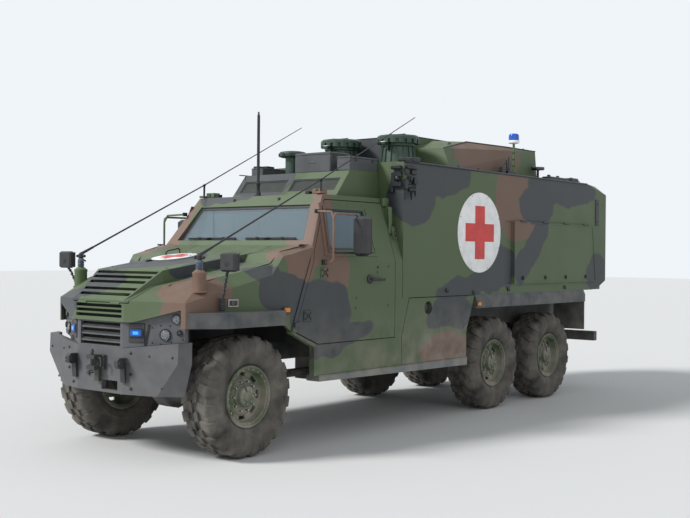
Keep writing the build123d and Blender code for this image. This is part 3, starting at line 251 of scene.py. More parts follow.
# Camouflage patches of the left side, the nose and the roof, as ellipsoids; two of the black ones, along the
# left wall of the bonnet's raised middle, are painted shade:
# station, y, z, radius along X, Y and Z, turn about Y in degrees (front end down)
BROWN_PATCHES = (
    (0.56, 0.88, 1.30, 0.22, 0.28, 0.36, 0),
    (0.48, 0.84, 1.49, 0.28, 0.34, 0.20, 0),
    (-0.60, 1.00, 1.86, 0.30, 0.33, 0.15, -15),
    (-0.62, 1.08, 1.70, 0.17, 0.16, 0.20, 0),
    (-0.98, 0.98, 2.10, 0.30, 0.30, 0.36, -15),
    (-1.14, 1.00, 1.66, 0.27, 0.20, 0.19, 0),
    (-1.16, 0.84, 2.42, 0.17, 0.16, 0.14, 0),
    (-4.42, 1.08, 2.55, 0.38, 0.25, 0.52, 0),
    (-4.64, 1.08, 2.17, 0.34, 0.25, 0.17, 0),
    (-3.08, 1.08, 0.78, 0.60, 0.25, 0.16, 0),
    (-4.28, 0.86, 3.02, 0.72, 0.34, 0.32, 0),
)
BLACK_AND_SHADE_PATCHES = (
    (0.04, -0.20, 1.76, 0.56, 0.52, 0.20, 0),
    # painted shade: black along the shaded left wall of the bonnet's raised middle
    (-0.05, 0.50, 1.74, 0.50, 0.10, 0.12, -10),
    (0.66, -0.26, 1.53, 0.17, 0.33, 0.15, 38),
    (0.76, -0.58, 1.35, 0.24, 0.33, 0.21, 0),
    (0.10, -0.85, 1.58, 0.28, 0.22, 0.14, 0),
    (-0.15, 0.99, 1.68, 0.21, 0.20, 0.12, -20),
    (-0.42, 1.08, 1.46, 0.33, 0.25, 0.21, 0),
    (-0.92, 1.08, 1.28, 0.46, 0.25, 0.31, 0),
    (-1.22, 1.08, 1.01, 0.50, 0.25, 0.13, 15),
    (-2.86, 1.08, 2.74, 0.66, 0.25, 0.27, 0),
    (-2.44, 1.08, 2.42, 0.36, 0.25, 0.29, 0),
    (-5.74, 1.08, 2.71, 0.96, 0.25, 0.23, 0),
    (-5.06, 1.08, 2.46, 0.44, 0.25, 0.25, 0),
    (-4.88, 1.08, 1.90, 0.56, 0.25, 0.19, 43),
    (-3.72, 1.08, 1.52, 0.92, 0.25, 0.15, 9),
    (-4.20, 1.08, 1.68, 0.32, 0.25, 0.28, 0),
    (-3.12, 1.08, 1.17, 0.50, 0.25, 0.19, 0),
    (-6.72, 1.08, 1.60, 0.30, 0.25, 0.26, 0),
    (-1.62, -0.40, 2.60, 0.30, 0.42, 0.22, 0),
    (-1.16, -0.50, 2.42, 0.20, 0.42, 0.12, 0),
    # painted shade: black on the front end of the same shaded left wall
    (0.24, 0.48, 1.68, 0.24, 0.09, 0.14, -12),
    (-3.18, -0.02, 3.08, 0.26, 0.46, 0.36, 0),
)
PATCH_EDGE = 0.03
# Size of the noise on the other sides, and the share of it above which they are brown, and then black
NOISES = ((1.05, 0.555), (0.85, 0.560))
CUT_EDGE = 0.004
# How far the patches' edges wander
WANDER = 0.30
# Where the drawn patches end: near side, far wall of the cab, bulkhead, back, roof and roof module
NEAR_Y = 0.30
FAR_Y = -0.84
FAR_FRONT = 0.10
CAB_REAR = -2.24
BACK_FACE = -6.985
ROOF_Z = 2.792
MODULE_Y = 0.50
MODULE_FRONT_X = -3.80
MODULE_Z = 2.81
ROOF_PATCH_END = -3.78
EDGE = 0.04


def camouflage_colour(paint):
    """Drawn patches on the near side, nose and cab, mirrored on the cab's far wall, and noise elsewhere."""
    warped = paint.shifted(paint.place, paint.noise(2.6, 2.0, "Color"), WANDER)
    wx, wy, wz = paint.axes(paint.shifted(warped, (-WANDER / 2,) * 3))
    x, y, z = paint.x, paint.y, paint.z
    far = paint.times(paint.below(y, FAR_Y), paint.below(x, at(FAR_FRONT)))
    combine = paint.add("ShaderNodeCombineXYZ")
    for socket, value in enumerate((wx, paint.times(wy, paint.less(1.0, paint.times(far, 2.0))), wz)):
        paint.feed(combine.inputs[socket], value)
    ahead_of_back = paint.ramp(x, at(BACK_FACE), at(BACK_FACE + 0.01))
    near = paint.times(paint.ramp(y, NEAR_Y, NEAR_Y + EDGE), ahead_of_back)
    module = paint.ramp(x, at(MODULE_FRONT_X), at(MODULE_FRONT_X + EDGE))
    module = paint.times(paint.ramp(z, MODULE_Z, MODULE_Z + 0.01), module)
    drawn = paint.most(paint.most(near, module), paint.ramp(x, at(CAB_REAR), at(CAB_REAR + EDGE)))
    sky = paint.times(paint.ramp(z, ROOF_Z, ROOF_Z + 0.006), paint.ramp(y, MODULE_Y + 0.02, MODULE_Y))
    sky = paint.times(sky, paint.ramp(x, at(ROOF_PATCH_END + EDGE), at(ROOF_PATCH_END)))
    drawn = paint.times(drawn, paint.less(1.0, sky, clamp=True))
    colour = GREEN
    # brown patches, then black ones, which hold painted shade on the bonnet's raised middle
    for tint, patches, (scale, cut) in zip((BROWN, BLACK), (BROWN_PATCHES, BLACK_AND_SHADE_PATCHES), NOISES):
        filled = paint.ramp(paint.noise(scale, 1.0), cut - CUT_EDGE, cut + CUT_EDGE)
        share = paint.mix(drawn, filled, paint.inside(combine.outputs[0], patches))
        colour = paint.mix(share, colour, tint)
    return colour


# Heights and ends of the load space's lining, and the top of the side step
BOX_FOOT_Z = 1.366
SPACE_HALF = 1.024
SPACE_FRONT = -2.256
SPACE_REAR = -6.958
SPACE_TOP_Z = 2.744
SPACE_FLOOR_Z = 1.420
STEP_TOP_Z = 0.655


def camouflage_material(name="camouflage", dust=0.55, lined=False, step=False):
    paint = Paint(name)
    fade = paint.ramp(paint.noise(3.2, 6.0), 0.35, 0.70)
    colour = paint.mix(paint.times(fade, 0.14), camouflage_colour(paint), FADED)
    if lined:
        colour = paint.mix(paint.below(paint.z, BOX_FOOT_Z), colour, UNDERSIDE)
    if step:
        colour = paint.mix(paint.below(paint.z, STEP_TOP_Z), colour, STEP_METAL)
    colour = paint.dusty(colour, 0.45, 1.35, dust)
    if lined:
        # pale lining on what faces the load space
        inside = paint.below(paint.absolute(paint.y), SPACE_HALF)
        for limit in (paint.below(paint.x, at(SPACE_FRONT)), paint.above(paint.x, at(SPACE_REAR)),
                      paint.below(paint.z, SPACE_TOP_Z), paint.above(paint.z, SPACE_FLOOR_Z)):
            inside = paint.times(inside, limit)
        colour = paint.mix(inside, colour, LINING)
    paint.set(Base_Color=colour, Roughness=paint.plus(paint.times(fade, 0.16), 0.52))
    paint.bump(paint.noise(240.0), 0.12)
    return paint.material


def plain_material(name, colour, roughness, metallic=0.0, dust=0.3, dust_top=1.6, grain=180.0, relief=0.2,
                   coat=0.0):
    paint = Paint(name)
    lighter = tuple(min(1.0, share * 1.3 + 0.004) for share in colour)
    tint = paint.mix(paint.ramp(paint.noise(9.0, 5.0), 0.3, 0.7), colour, lighter)
    paint.set(Base_Color=paint.dusty(tint, 0.1, dust_top, dust), Roughness=roughness)
    paint.set(Metallic=metallic, Coat_Weight=coat)
    paint.bump(paint.noise(grain), relief)
    return paint.material


# Where the towing gear begins in front of the bumper's plate, and its half width
GEAR_X = 0.857
GEAR_HALF = 0.42


def bumper_material():
    """Grey paint, with the towing gear that stands off the plate painted black."""
    paint = Paint("bumper_paint")
    grain = paint.ramp(paint.noise(9.0, 5.0), 0.3, 0.7)
    tint = paint.mix(grain, (0.072, 0.075, 0.082), (0.094, 0.098, 0.106))
    gear = paint.times(paint.above(paint.x, at(GEAR_X)), paint.below(paint.absolute(paint.y), GEAR_HALF))
    tint = paint.mix(gear, tint, (0.016, 0.017, 0.019))
    paint.set(Base_Color=paint.dusty(tint, 0.1, 1.3, 0.30), Roughness=0.5)
    paint.bump(paint.noise(180.0), 0.12)
    return paint.material


def clear_material(name, colour, roughness, transmission, glow=0.0):
    """Glass or a lens, with faint streaks in its polish."""
    paint = Paint(name)
    streaks = paint.ramp(paint.noise(6.0, 5.0), 0.45, 0.75)
    paint.set(Base_Color=colour, Roughness=paint.plus(paint.times(streaks, 0.08), roughness),
              Transmission_Weight=transmission, IOR=1.5)
    if glow:
        paint.set(Emission_Color=colour, Emission_Strength=glow)
    return paint.material


def grid_material(name, colour, pitch):
    """Expanded metal: holes worked out from two crossed waves, painted near-black as the shade behind the
    mesh.
    """
    paint = Paint(name)
    waves = [paint.maths("SINE", paint.times(axis, math.tau / pitch), 0.0) for axis in (paint.z, paint.y)]
    height = paint.times(*waves)
    # painted shade: the holes are near-black, the bars take the panel's colour
    tint = paint.mix(paint.ramp(height, -0.2, 0.2), (0.004, 0.004, 0.004), colour)
    paint.set(Base_Color=paint.dusty(tint, 0.2, 2.0, 0.3), Roughness=0.6)
    paint.bump(height, 0.6, 0.003)
    return paint.material


camouflage = camouflage_material()
rubber = plain_material("tyre_rubber", (0.030, 0.029, 0.028), 0.86, dust=0.50, dust_top=1.5, grain=60.0,
                        relief=0.35)
wheel_paint = plain_material("wheel_paint", (0.050, 0.078, 0.036), 0.68, dust=0.85)
grey_paint = plain_material("grey_paint", (0.074, 0.077, 0.084), 0.5, dust=0.35, dust_top=1.3, relief=0.12)
bumper_paint = bumper_material()
black_plastic = plain_material("black_plastic", (0.018, 0.018, 0.020), 0.5, grain=320.0)
black_metal = plain_material("black_metal", (0.022, 0.024, 0.027), 0.42, metallic=0.4)
running_gear = plain_material("running_gear", (0.028, 0.030, 0.031), 0.7, dust=0.7, dust_top=1.3)
green_metal = plain_material("green_metal", (0.030, 0.058, 0.040), 0.45, metallic=0.2)
green_paint = plain_material("green_paint", GREEN, 0.6)
brown_paint = plain_material("brown_paint", BROWN, 0.6)
bin_paint = plain_material("bin_paint", (0.060, 0.064, 0.068), 0.6)
steel = plain_material("steel", (0.30, 0.29, 0.27), 0.38, metallic=0.9)
chrome = plain_material("reflector", (0.34, 0.35, 0.37), 0.22, metallic=1.0, dust=0.1)
white_paint = plain_material("white_paint", (0.80, 0.81, 0.80), 0.45, dust=0.25, dust_top=2.4, relief=0.08)
red_paint = plain_material("red_paint", (0.56, 0.030, 0.028), 0.45, dust=0.2, dust_top=2.4, relief=0.08)
porcelain = plain_material("insulator", (0.055, 0.075, 0.105), 0.25, coat=0.5)
seat_cloth = plain_material("seat_cloth", (0.045, 0.050, 0.050), 0.95, grain=420.0, relief=0.5)
dark_core = plain_material("dark_core", (0.006, 0.006, 0.007), 0.85)
mesh_panel = grid_material("mesh_panel", (0.036, 0.048, 0.034), 0.014)
windscreen_glass = clear_material("windscreen_glass", (0.40, 0.52, 0.58), 0.02, 0.75)
door_glass = clear_material("door_glass", (0.16, 0.26, 0.33), 0.03, 0.5)
clear_lens = clear_material("clear_lens", (0.60, 0.63, 0.66), 0.03, 0.92)
amber_lens = clear_material("amber_lens", (0.85, 0.26, 0.02), 0.10, 0.35, 0.12)
red_lens = clear_material("red_lens", (0.55, 0.02, 0.015), 0.10, 0.35, 0.05)
blue_lens = clear_material("blue_lens", (0.015, 0.13, 0.60), 0.08, 0.30, 0.12)
blue_glow = clear_material("blue_glow", (0.06, 0.42, 0.90), 0.10, 0.20, 0.40)
dark_lens = clear_material("dark_lens", (0.05, 0.055, 0.06), 0.04, 0.40)
mirror_glass = plain_material("mirror_glass", (0.75, 0.78, 0.80), 0.05, metallic=1.0, dust=0.0, relief=0.0)
# Fittings on the cab are brown on its left and green on its right
FITTING_PAINT = {1: brown_paint, -1: green_paint}


class Form:
    """Solids gathered in one mesh, each with its own material; side is -1 while they are mirrored."""

    def __init__(self, origin=AXLE_X, side=1):
        self.mesh = bmesh.new()
        self.materials = []
        self.origin = origin
        self.side = side

    def both(self):
        """Runs a loop for the left side and, mirrored, for the right, each with its fittings' paint."""
        for self.side in SIDES.values():
            yield FITTING_PAINT[self.side]
        self.side = 1

    def vertex(self, point):
        return self.mesh.verts.new(in_frame(point, self.origin, self.side))

    def skin(self, rings, paint=black_metal, loop=False):
        """Skin through rings of points; the ends are closed, or the last ring joins the first."""
        if paint not in self.materials:
            self.materials.append(paint)
        rows = [[self.vertex(point) for point in ring] for ring in rings]
        faces = []
        for low, high in list(zip(rows, rows[1:])) + ([(rows[-1], rows[0])] if loop else []):
            for i in range(len(low)):
                j = (i + 1) % len(low)
                faces.append(self.mesh.faces.new((low[i], low[j], high[j], high[i])))
        if not loop:
            faces += [self.mesh.faces.new(rows[0][::-1]), self.mesh.faces.new(rows[-1])]
        for face in faces:
            face.material_index = self.materials.index(paint)

    def prism(self, points, rise, paint=dark_core):
        """Flat outline pushed along a vector."""
        points = [Vector(point) for point in points]
        self.skin([points, [point + Vector(rise) for point in points]], paint)

    def block(self, middle, size, paint=black_metal, turn=None, bevel=4):
        """Box with bevelled edges; turn is a rotation about its middle."""
        half = Vector(size) / 2
        cut = min(bevel, *(0.45 * reach for reach in half))
        turn = turn or Matrix.Identity(3)
        rings = []
        for z, inset in ((-half.z, cut), (cut - half.z, 0), (half.z - cut, 0), (half.z, cut)):
            a, b = half.x - inset, half.y - inset
            corners = [(a, b - cut), (a - cut, b), (cut - a, b), (-a, b - cut)]
            corners += [(-x, -y) for x, y in corners]
            rings.append([Vector(middle) + turn @ Vector((x, y, z)) for x, y in corners])
        self.skin(rings, paint)

    def lathe(self, origin, axis, profile, paint=black_metal, sides=24, loop=False):
        """Turned shape: the profile is distance along the axis and radius, in turn."""
        axis = Vector(axis).normalized()
        across = axis.cross(FORE if abs(axis.x) < 0.9 else UP).normalized()
        round_axis = spokes(sides, 0.5, across, axis.cross(across))
        rings = []
        for reach, radius in zip(profile[::2], profile[1::2]):
            middle = Vector(origin) + axis * reach
            rings.append([middle + radius * spoke for spoke in round_axis])
        self.skin(rings, paint, loop)

    def rod(self, start, end, radius, paint=black_metal, sides=12, tip=None):
        run = Vector(end) - Vector(start)
        self.lathe(start, run, (0, radius, run.length, radius if tip is None else tip), paint, sides)

    def tube(self, points, radius, paint=black_metal, sides=10, closed=False):
        """Round bar along points; its rings stand halfway between the runs."""
        points = [Vector(point) for point in points]
        count = len(points)
        rings = []
        across = None
        for i, point in enumerate(points):
            ahead = points[(i + 1) % count] - point if closed or i + 1 < count else point - points[i - 1]
            behind = point - points[i - 1] if closed or i else ahead
            run = (ahead.normalized() + behind.normalized()).normalized()
            across = across or run.orthogonal()
            across = (across - run * across.dot(run)).normalized()
            rings.append([point + radius * spoke for spoke in spokes(sides, 0, across, run.cross(across))])
        self.skin(rings, paint, closed)

    def bolt(self, place, normal, radius, paint=black_metal, height=None):
        """Hexagon head on a washer."""
        height = height or radius * 0.8
        washer = radius * 0.2
        self.lathe(place, normal, (-1, radius * 1.35, washer, radius * 1.35), paint, 12)
        self.lathe(place, normal, (washer, radius, height * 0.85, radius, height, radius * 0.8), paint, 6)

    def bolts(self, points, normal, pitch, radius, paint=black_metal):
        """Bolts along the runs between points."""
        for start, end in zip(points, points[1:]):
            count = max(1, round((end - start).length / pitch))
            for i in range(count):
                self.bolt(start.lerp(end, (i + 0.5) / count), normal, radius, paint)

    def border(self, points, normal, width, rise, paint=camouflage):
        """Flat frame along a closed outline, reaching inwards by width."""
        middle = sum(points, Vector()) / len(points)
        rings = []
        for before, point, after in zip(points[-1:] + points, points, points[1:] + points[:1]):
            ins = [normal.cross(run).normalized() for run in (point - before, after - point)]
            ins = [step if step.dot(middle - point) > 0 else -step for step in ins]
            within = point + (ins[0] + ins[1]) * (width / (1 + ins[0].dot(ins[1])))
            rings.append([point, point + normal * rise, within + normal * rise, within])
        self.skin(rings, paint, loop=True)

    def bake(self, name):
        """Turns the form into a mesh with its materials."""
        bmesh.ops.recalc_face_normals(self.mesh, faces=self.mesh.faces)
        data = bpy.data.meshes.new(name)
        self.mesh.to_mesh(data)
        self.mesh.free()
        for material in self.materials:
            data.materials.append(material)
        return data

    def place(self, name, body, slot, replaces=(), smooth=35.0, copies=None):
        """Makes the object, or one for each of copies: name, body, matrix and the nodes that it replaces."""
        data = self.bake(name)
        data.shade_smooth()
        data.set_sharp_from_angle(angle=math.radians(smooth))
        for label, carrier, matrix, stands_for in copies or ((name, body, Matrix.Identity(4), replaces),):
            piece = bpy.data.objects.new(label, data)
            scene.collection.objects.link(piece)
            piece.matrix_world = matrix
            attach(piece, carrier)
            if stands_for:
                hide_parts(*stands_for)
        return piece


def spokes(count, phase=0.0, first=FORE, second=LEFT):
    """Unit vectors all round, in the plane of two axes; phase is a share of a step."""
    turns = [math.tau * (i + phase) / count for i in range(count)]
    return [math.cos(turn) * first + math.sin(turn) * second for turn in turns]


def arc(middle, radius, start, end, steps, first=FORE, second=UP):
    """Points round an arc in the plane of two axes, angles in degrees."""
    turns = [math.radians(start + (end - start) * i / steps) for i in range(steps + 1)]
    return [Vector(middle) + radius * (math.cos(turn) * first + math.sin(turn) * second) for turn in turns]


def offset(base, *steps):
    """Points at steps from a base."""
    return [base + Vector(step) for step in steps]


def turned(first, second, third):
    """Rotation that lays the axes of a block along three vectors."""
    return Matrix((first, second, third)).transposed()


def facing(spoke):
    """Rotation that turns a block's length along a level spoke."""
    return turned(spoke, UP.cross(spoke), UP)


# Corners of a rectangle, one after the other
CORNERS = ((1, -1), (1, 1), (-1, 1), (-1, -1))

# Tyres: a turned carcass with slanting shoulder lugs and zigzag middle blocks
TYRE_R = 545
WHEEL_Y = 861
WHEEL_STATIONS = {"front": 0, "middle": -4150, "rear": -5507}
LUG_COUNT = 20
LUG_TAPER = 0.035
# y, radius of the carcass on one half, from the bead to the middle of the tread
CARCASS = (
    (128, 281), (137, 290), (152, 303), (168, 330), (176, 352), (179.5, 356), (179.5, 366), (181, 385),
    (182, 420), (180, 450), (172, 478), (160, 503), (146, 518), (100, 522), (40, 523), (0, 523),
)
# y, reach of the top, reach of the foot, start and end as shares of a pitch
SHOULDER_LUG = (
    (62, 544.5, 515, 0.02, 0.46),
    (100, 543.5, 515, 0.08, 0.58),
    (138, 540, 510, 0.14, 0.70),
    (158, 529, 495, 0.17, 0.72),
    (172, 505, 475, 0.18, 0.70),
    (183.5, 470, 450, 0.20, 0.66),
    (184, 448, 440, 0.24, 0.60),
)
MIDDLE_BLOCK = (
    (7, 545, 515, 0.62, 1.12),
    (30, 545, 515, 0.50, 1.00),
    (52, 544.7, 515, 0.58, 1.06),
)
# Short ribs low on the sidewall: radius and y of their ends, half their angle and their depth
RIB_ENDS = ((372, 182), (430, 184))
RIB_SWING = 0.012
RIB_DEPTH = 6


def wheel_point(turn, y, radius):
    return vec(radius * math.sin(turn), y, radius * math.cos(turn))


def wheel_copies(prefix, node):
    """A shape's copies at the six wheels, as Form.place takes them."""
    copies = []
    for place, station in WHEEL_STATIONS.items():
        for hand, side in SIDES.items():
            wheel = f"{place}_{hand}"
            half_turn = Matrix.Rotation(0 if side > 0 else math.pi, 4, "Z")
            matrix = Matrix.Translation((at(station * MM), side * WHEEL_Y * MM, TYRE_R * MM)) @ half_turn
            copies.append((f"{prefix}_{wheel}", f"wheel_{wheel}", matrix, (f"{node}_{wheel}",)))
    return copies


def make_tyres():
    form = Form(origin=0)
    halves = [*CARCASS, *((-y, radius) for y, radius in reversed(CARCASS[:-1]))]
    form.lathe(Vector(), LEFT, sum(halves, ()), rubber, 96, loop=True)
    pitch = math.tau / LUG_COUNT
    for place in range(LUG_COUNT):
        for side, shift in ((1, 0.0), (-1, 0.5)):
            form.side = side
            start = pitch * (place + shift)
            for rows in (SHOULDER_LUG, MIDDLE_BLOCK):
                rings = []
                for y, top, foot, first, last in rows:
                    turns = [start + pitch * (first + (last - first) * k / 3) for k in range(4)]
                    wide = [start + pitch * share for share in (last + LUG_TAPER, first - LUG_TAPER)]
                    rings.append([wheel_point(turn, y, top) for turn in turns])
                    rings[-1] += [wheel_point(turn, y, foot) for turn in wide]
                form.skin(rings, rubber)
            for share in (0.25, 0.75):
                turn = start + pitch * share
                form.skin([[wheel_point(turn + a * RIB_SWING, y - (b < 0) * RIB_DEPTH, radius)
                            for a, b in CORNERS] for radius, y in RIB_ENDS], rubber)
    form.place("tyre", None, "tyre", copies=wheel_copies("tyre_tread", "tyre"), smooth=40)


# Rims: a turned bowl with hand holes, wheel nuts and a hub; profiles are y and radius in turn
BOWL = (
    -151, 262, -151, 275, -140, 279.5, 140, 279.5, 151, 275, 151, 262, 151, 254, 140, 250, 134, 238, 118, 231,
    90, 229, 72, 222, 40, 215, 30, 229, -134, 236, -140, 252,
)
OUTER_RING = (72, 222, 64, 212, 40, 212, 40, 222)
INNER_RING = (60, 178, 67, 166, 78, 156, 78, 100, 40, 100, 40, 178)
SPOKE_RING = ((64, 213), (60, 177), (40, 177), (40, 213))
HUB = (60, 112, 86, 112, 90, 106, 96, 98, 128, 92, 134, 86, 135, 50, 142, 46, 143, 20)
# count, phase, y, radius of the circle, size and height of the wheel's bolts
WHEEL_BOLTS = ((10, 0.5, 77, 135, 12.5, 26), (8, 0, 134, 68, 6, None), (24, 0, 138, 243, 5.5, None))
HAND_HOLES = 8
HOLE_SEGMENTS = 6
RIM_SEGMENTS = 96


def make_rims():
    form = Form(origin=0)
    # full rings outside and inside the hand holes, spokes between them
    for ring in (BOWL, OUTER_RING, INNER_RING):
        form.lathe(Vector(), LEFT, ring, wheel_paint, RIM_SEGMENTS, loop=True)
    step = math.tau / RIM_SEGMENTS
    per_hole = RIM_SEGMENTS // HAND_HOLES
    for hole in range(HAND_HOLES):
        start = hole * per_hole + HOLE_SEGMENTS / 2
        turns = [step * (start + k) for k in range(per_hole - HOLE_SEGMENTS + 1)]
        form.skin([[wheel_point(turn, y, radius) for y, radius in SPOKE_RING] for turn in turns], wheel_paint)
    form.lathe(Vector(), LEFT, HUB, wheel_paint, 48)
    form.lathe(Vector(), LEFT, (-5, 90, 60, 112), running_gear, 24)
    for count, phase, y, circle, size, height in WHEEL_BOLTS:
        for spoke in spokes(count, phase, UP, FORE):
            form.bolt(y * LEFT + circle * spoke, LEFT, size, steel, height)
    # air line of the tyre pressure gear, from the hub to the valve
    line = ((0.35, 136, 30), (0.37, 142, 90), (0.40, 128, 160), (0.42, 122, 228))
    form.tube([wheel_point(*point) for point in line], 6)
    form.place("rim", None, "rim", copies=wheel_copies("rim_bowl", "rim"), smooth=30)


# Lamps, on the slanted lamp panels and along the sides
PANEL_X = 852
PANEL_END_X = 604
PANEL_INNER = 306
PANEL_OUTER = 834
PANEL_SLOPE = math.atan2(PANEL_X - PANEL_END_X, PANEL_OUTER - PANEL_INNER)
PANEL_OUT = vec(math.cos(PANEL_SLOPE), math.sin(PANEL_SLOPE), 0)
PANEL_LEVEL = UP.cross(PANEL_OUT)
# y, z, radius, lens
FRONT_LAMPS = ((670, 1112, 42.64, clear_lens), (762, 1248, 35.26, clear_lens), (790, 1130, 21.32, dark_lens))
PANEL_SCREWS = (
    (630, 1190), (710, 1190), (630, 1030), (720, 1050), (815, 1200), (815, 1075), (560, 1170), (560, 1040),
)
# how far the blue lamp's parts stand out, their size, paint and bevel
BLUE_LAMP = (
    (4, (150, 12, 165), black_plastic, 4),
    (12, (128, 16, 78), black_metal, 12),
    (16, (104, 28, 56), blue_lens, 20),
    (17, (60, 30, 36), blue_glow, 15),
)


def panel_spot(y, z, out=0):
    """Point on the lamp panel's face, out from it."""
    return vec(PANEL_X - (y - PANEL_INNER) * math.tan(PANEL_SLOPE), y, z) + PANEL_OUT * out


def round_lamp(form, place, normal, radius, lens):
    """Ring, reflector bowl, bulb and domed lens."""
    ring = (0, radius * 1.22, 10, radius * 1.22, 14, radius * 1.12, 12, radius, 0, radius)
    form.lathe(place, normal, ring, sides=32, loop=True)
    form.lathe(place, normal, (1, radius, 4, radius * 0.55, 4.5, radius * 0.1), chrome, 32)
    form.lathe(place, normal, (4, radius * 0.24, 9, radius * 0.20), chrome, 16)
    form.lathe(place, normal, (8, radius, 13, radius * 0.86, 16.5, radius * 0.6, 18, radius * 0.15), lens, 32)


def make_lamps():
    form = Form()
    for _ in form.both():
        for y, z, radius, lens in FRONT_LAMPS:
            round_lamp(form, panel_spot(y, z, 1), PANEL_OUT, radius, lens)
        for y, z in PANEL_SCREWS:
            form.bolt(panel_spot(y, z), PANEL_OUT, 6)
        for out, size, paint, bevel in BLUE_LAMP:
            form.block(panel_spot(430, 1122, out), size, paint, turned(PANEL_LEVEL, PANEL_OUT, UP), bevel)
        # dark strip that divides the panels
        top, foot = panel_spot(536, 1193, 3), panel_spot(500, 1012, 3)
        aside = PANEL_LEVEL * 12
        form.prism((top - aside, top + aside, foot + aside, foot - aside), PANEL_OUT * 2)
        # marker lamps, and lamps on the under-run beam
        for middle in (vec(-417, 1070, 1304), vec(-3650, 1110, 1264)):
            form.block(middle, (82, 12, 56), black_plastic)
            form.block(middle + LEFT * 12, (68, 20, 42), amber_lens, bevel=8)
        for y, lens in ((800, red_lens), (700, amber_lens), (600, red_lens)):
            round_lamp(form, (-7062, y, 705), BACK, 36, lens)
    form.place("lamp_set", "hull", "lamp", ("lamps",))


# Front: core behind the grilles, bolts and towing gear
NOSE_X = 873
LOUVRE_X = 525
FOLD_Z = 1399
LOUVRE_Z = 1662
DOME_REAR = (-622, 1835)
DOME_SLOPE = (DOME_REAR[1] - LOUVRE_Z) / (LOUVRE_X - DOME_REAR[0])
DOME_OUT = vec(DOME_SLOPE, 0, 1).normalized()
# x, half width and z of the lower and the upper edge of the dark cores
CORES = (
    ((825, 335, 1215), (825, 335, 1374)),
    ((795, 370, 1372), (477, 435, 1614)),
    ((800, 290, 995), (800, 290, 1212)),
)
BUMPER_BOLTS = ((400, 947), (400, 764), (-485, 947), (-485, 764), (400, 640), (-400, 640))
# Plain cross of equal arms, as shares of its disc's radius
CROSS_HALF = 0.665
CROSS_ARM = 0.225


def dome_spot(station, y, out=0):
    """Point on the raised middle of the bonnet."""
    return vec(station, y, LOUVRE_Z + (LOUVRE_X - station) * DOME_SLOPE) + DOME_OUT * out


def cross_on(form, middle, across, upright, radius):
    """Cross raised a little from its disc."""
    a, b = CROSS_HALF * radius, CROSS_ARM * radius
    plan = [(b, b), (b, a), (-b, a), (-b, b), (-a, b), (-a, -b)]
    plan += [(-x, -y) for x, y in plan]
    form.prism([middle + across * x + upright * y for x, y in plan], across.cross(upright) * 1.5, red_paint)


def make_front():
    form = Form()
    for (x, y, z), (top_x, top_y, top_z) in CORES:
        form.prism(((x, -y, z), (x, y, z), (top_x, top_y, top_z), (top_x, -top_y, top_z)), (-12, 0, 0))
    for row in range(14):
        form.rod((812, -288, 1004 + 15 * row), (812, 288, 1004 + 15 * row), 3, sides=6)
    # dark upper sides of the lower grille's slats
    for z in (1038.5, 1098.5, 1158.5):
        slat = ((844.5, -275, z), (844.5, 275, z), (824.5, 275, z + 16), (824.5, -275, z + 16))
        form.prism(slat, (0.7, 0, 0.9))
    for y, z in BUMPER_BOLTS:
        form.bolt((853 - max(0, abs(y) - 315) * 0.19, y, z), FORE, 10.5)
    for _ in form.both():
        for y, z, back in ((600, 930, 0), (840, 930, 0), (720, 660, 12)):
            form.bolt((853 - 111 * (y - 315) / (897 - 315) - back, y, z), (1, 0.19, 0), 8)
        # pin and chain of each tow eye
        eye = vec(915, 340, 860)
        form.rod(eye - LEFT * 40, eye + LEFT * 40, 16.5, sides=16)
        for end in (1, -1):
            form.lathe(eye + end * 30 * LEFT, end * LEFT, (-4, 27, 6, 27, 9, 20), sides=16)
        form.tube(arc(eye + vec(12, 38, -12), 22, 20, 330, 12), 4.5)
    # coupling jaw
    form.lathe((940, 0, 764), UP, (-12, 10, -4, 19, 0, 19), sides=16)
    form.lathe((940, 0, 938), UP, (0, 19, 10, 18, 30, 10), sides=16)
    form.tube(((920, 60, 890), (930, 105, 895), (935, 120, 860), (935, 118, 820)), 9)
    for y in (-80, 80):
        for z in (800, 900):
            form.bolt((880, y, z), FORE, 10)
    form.lathe((853, -150, 742), FORE, (0, 20, 18, 20, 20, 14), sides=16)
    # air guides behind the lamp panels, down to the bumper
    for _ in form.both():
        form.prism(((800, 300, 900), (556, 826, 900), (556, 826, 1290), (800, 300, 1200)), (-10, 0, 0))
    form.place("front_fittings", "hull", "black_trim")

    form = Form()
    # marking plate lying on the bonnet, a plain red cross on a white disc
    middle = dome_spot(-204, -217, 10)
    along = vec(DOME_OUT.z, 0, -DOME_OUT.x)
    form.lathe(middle, DOME_OUT, (-9, 214, -2, 222, 2, 222, 4, 218), white_paint, 64)
    cross_on(form, middle + DOME_OUT * 4.5, along, LEFT, 222)
    for turn in (0.4, 1.7, 2.9, 4.4):
        rim = middle + 205 * (math.cos(turn) * along + math.sin(turn) * LEFT)
        form.bolt(rim + DOME_OUT * 3, DOME_OUT, 6)
    form.block(dome_spot(45, -300, 6), (60, 36, 22), black_plastic)
    # grab handle on the far edge of the raised middle
    a, b = dome_spot(-300, -448), dome_spot(-480, -448)
    form.tube((a, a + UP * 35, a + vec(-20, 0, 50), b + vec(20, 0, 50), b + UP * 35, b), 7)
    for y in (380, -380):
        for station in (420, -500):
            form.bolt(dome_spot(station, y), DOME_OUT, 8, green_metal)
    form.place("bonnet_fittings", "bonnet_lid", "body")


# Seam of the real bonnet's edge, drawn on the fixed shell as a narrow dark gap
SEAM = ((333, 811, 1573), (-12, 872, 1646), (-342, 930, 1727), (-454, 950, 1838), (-770, 1005, 1907))


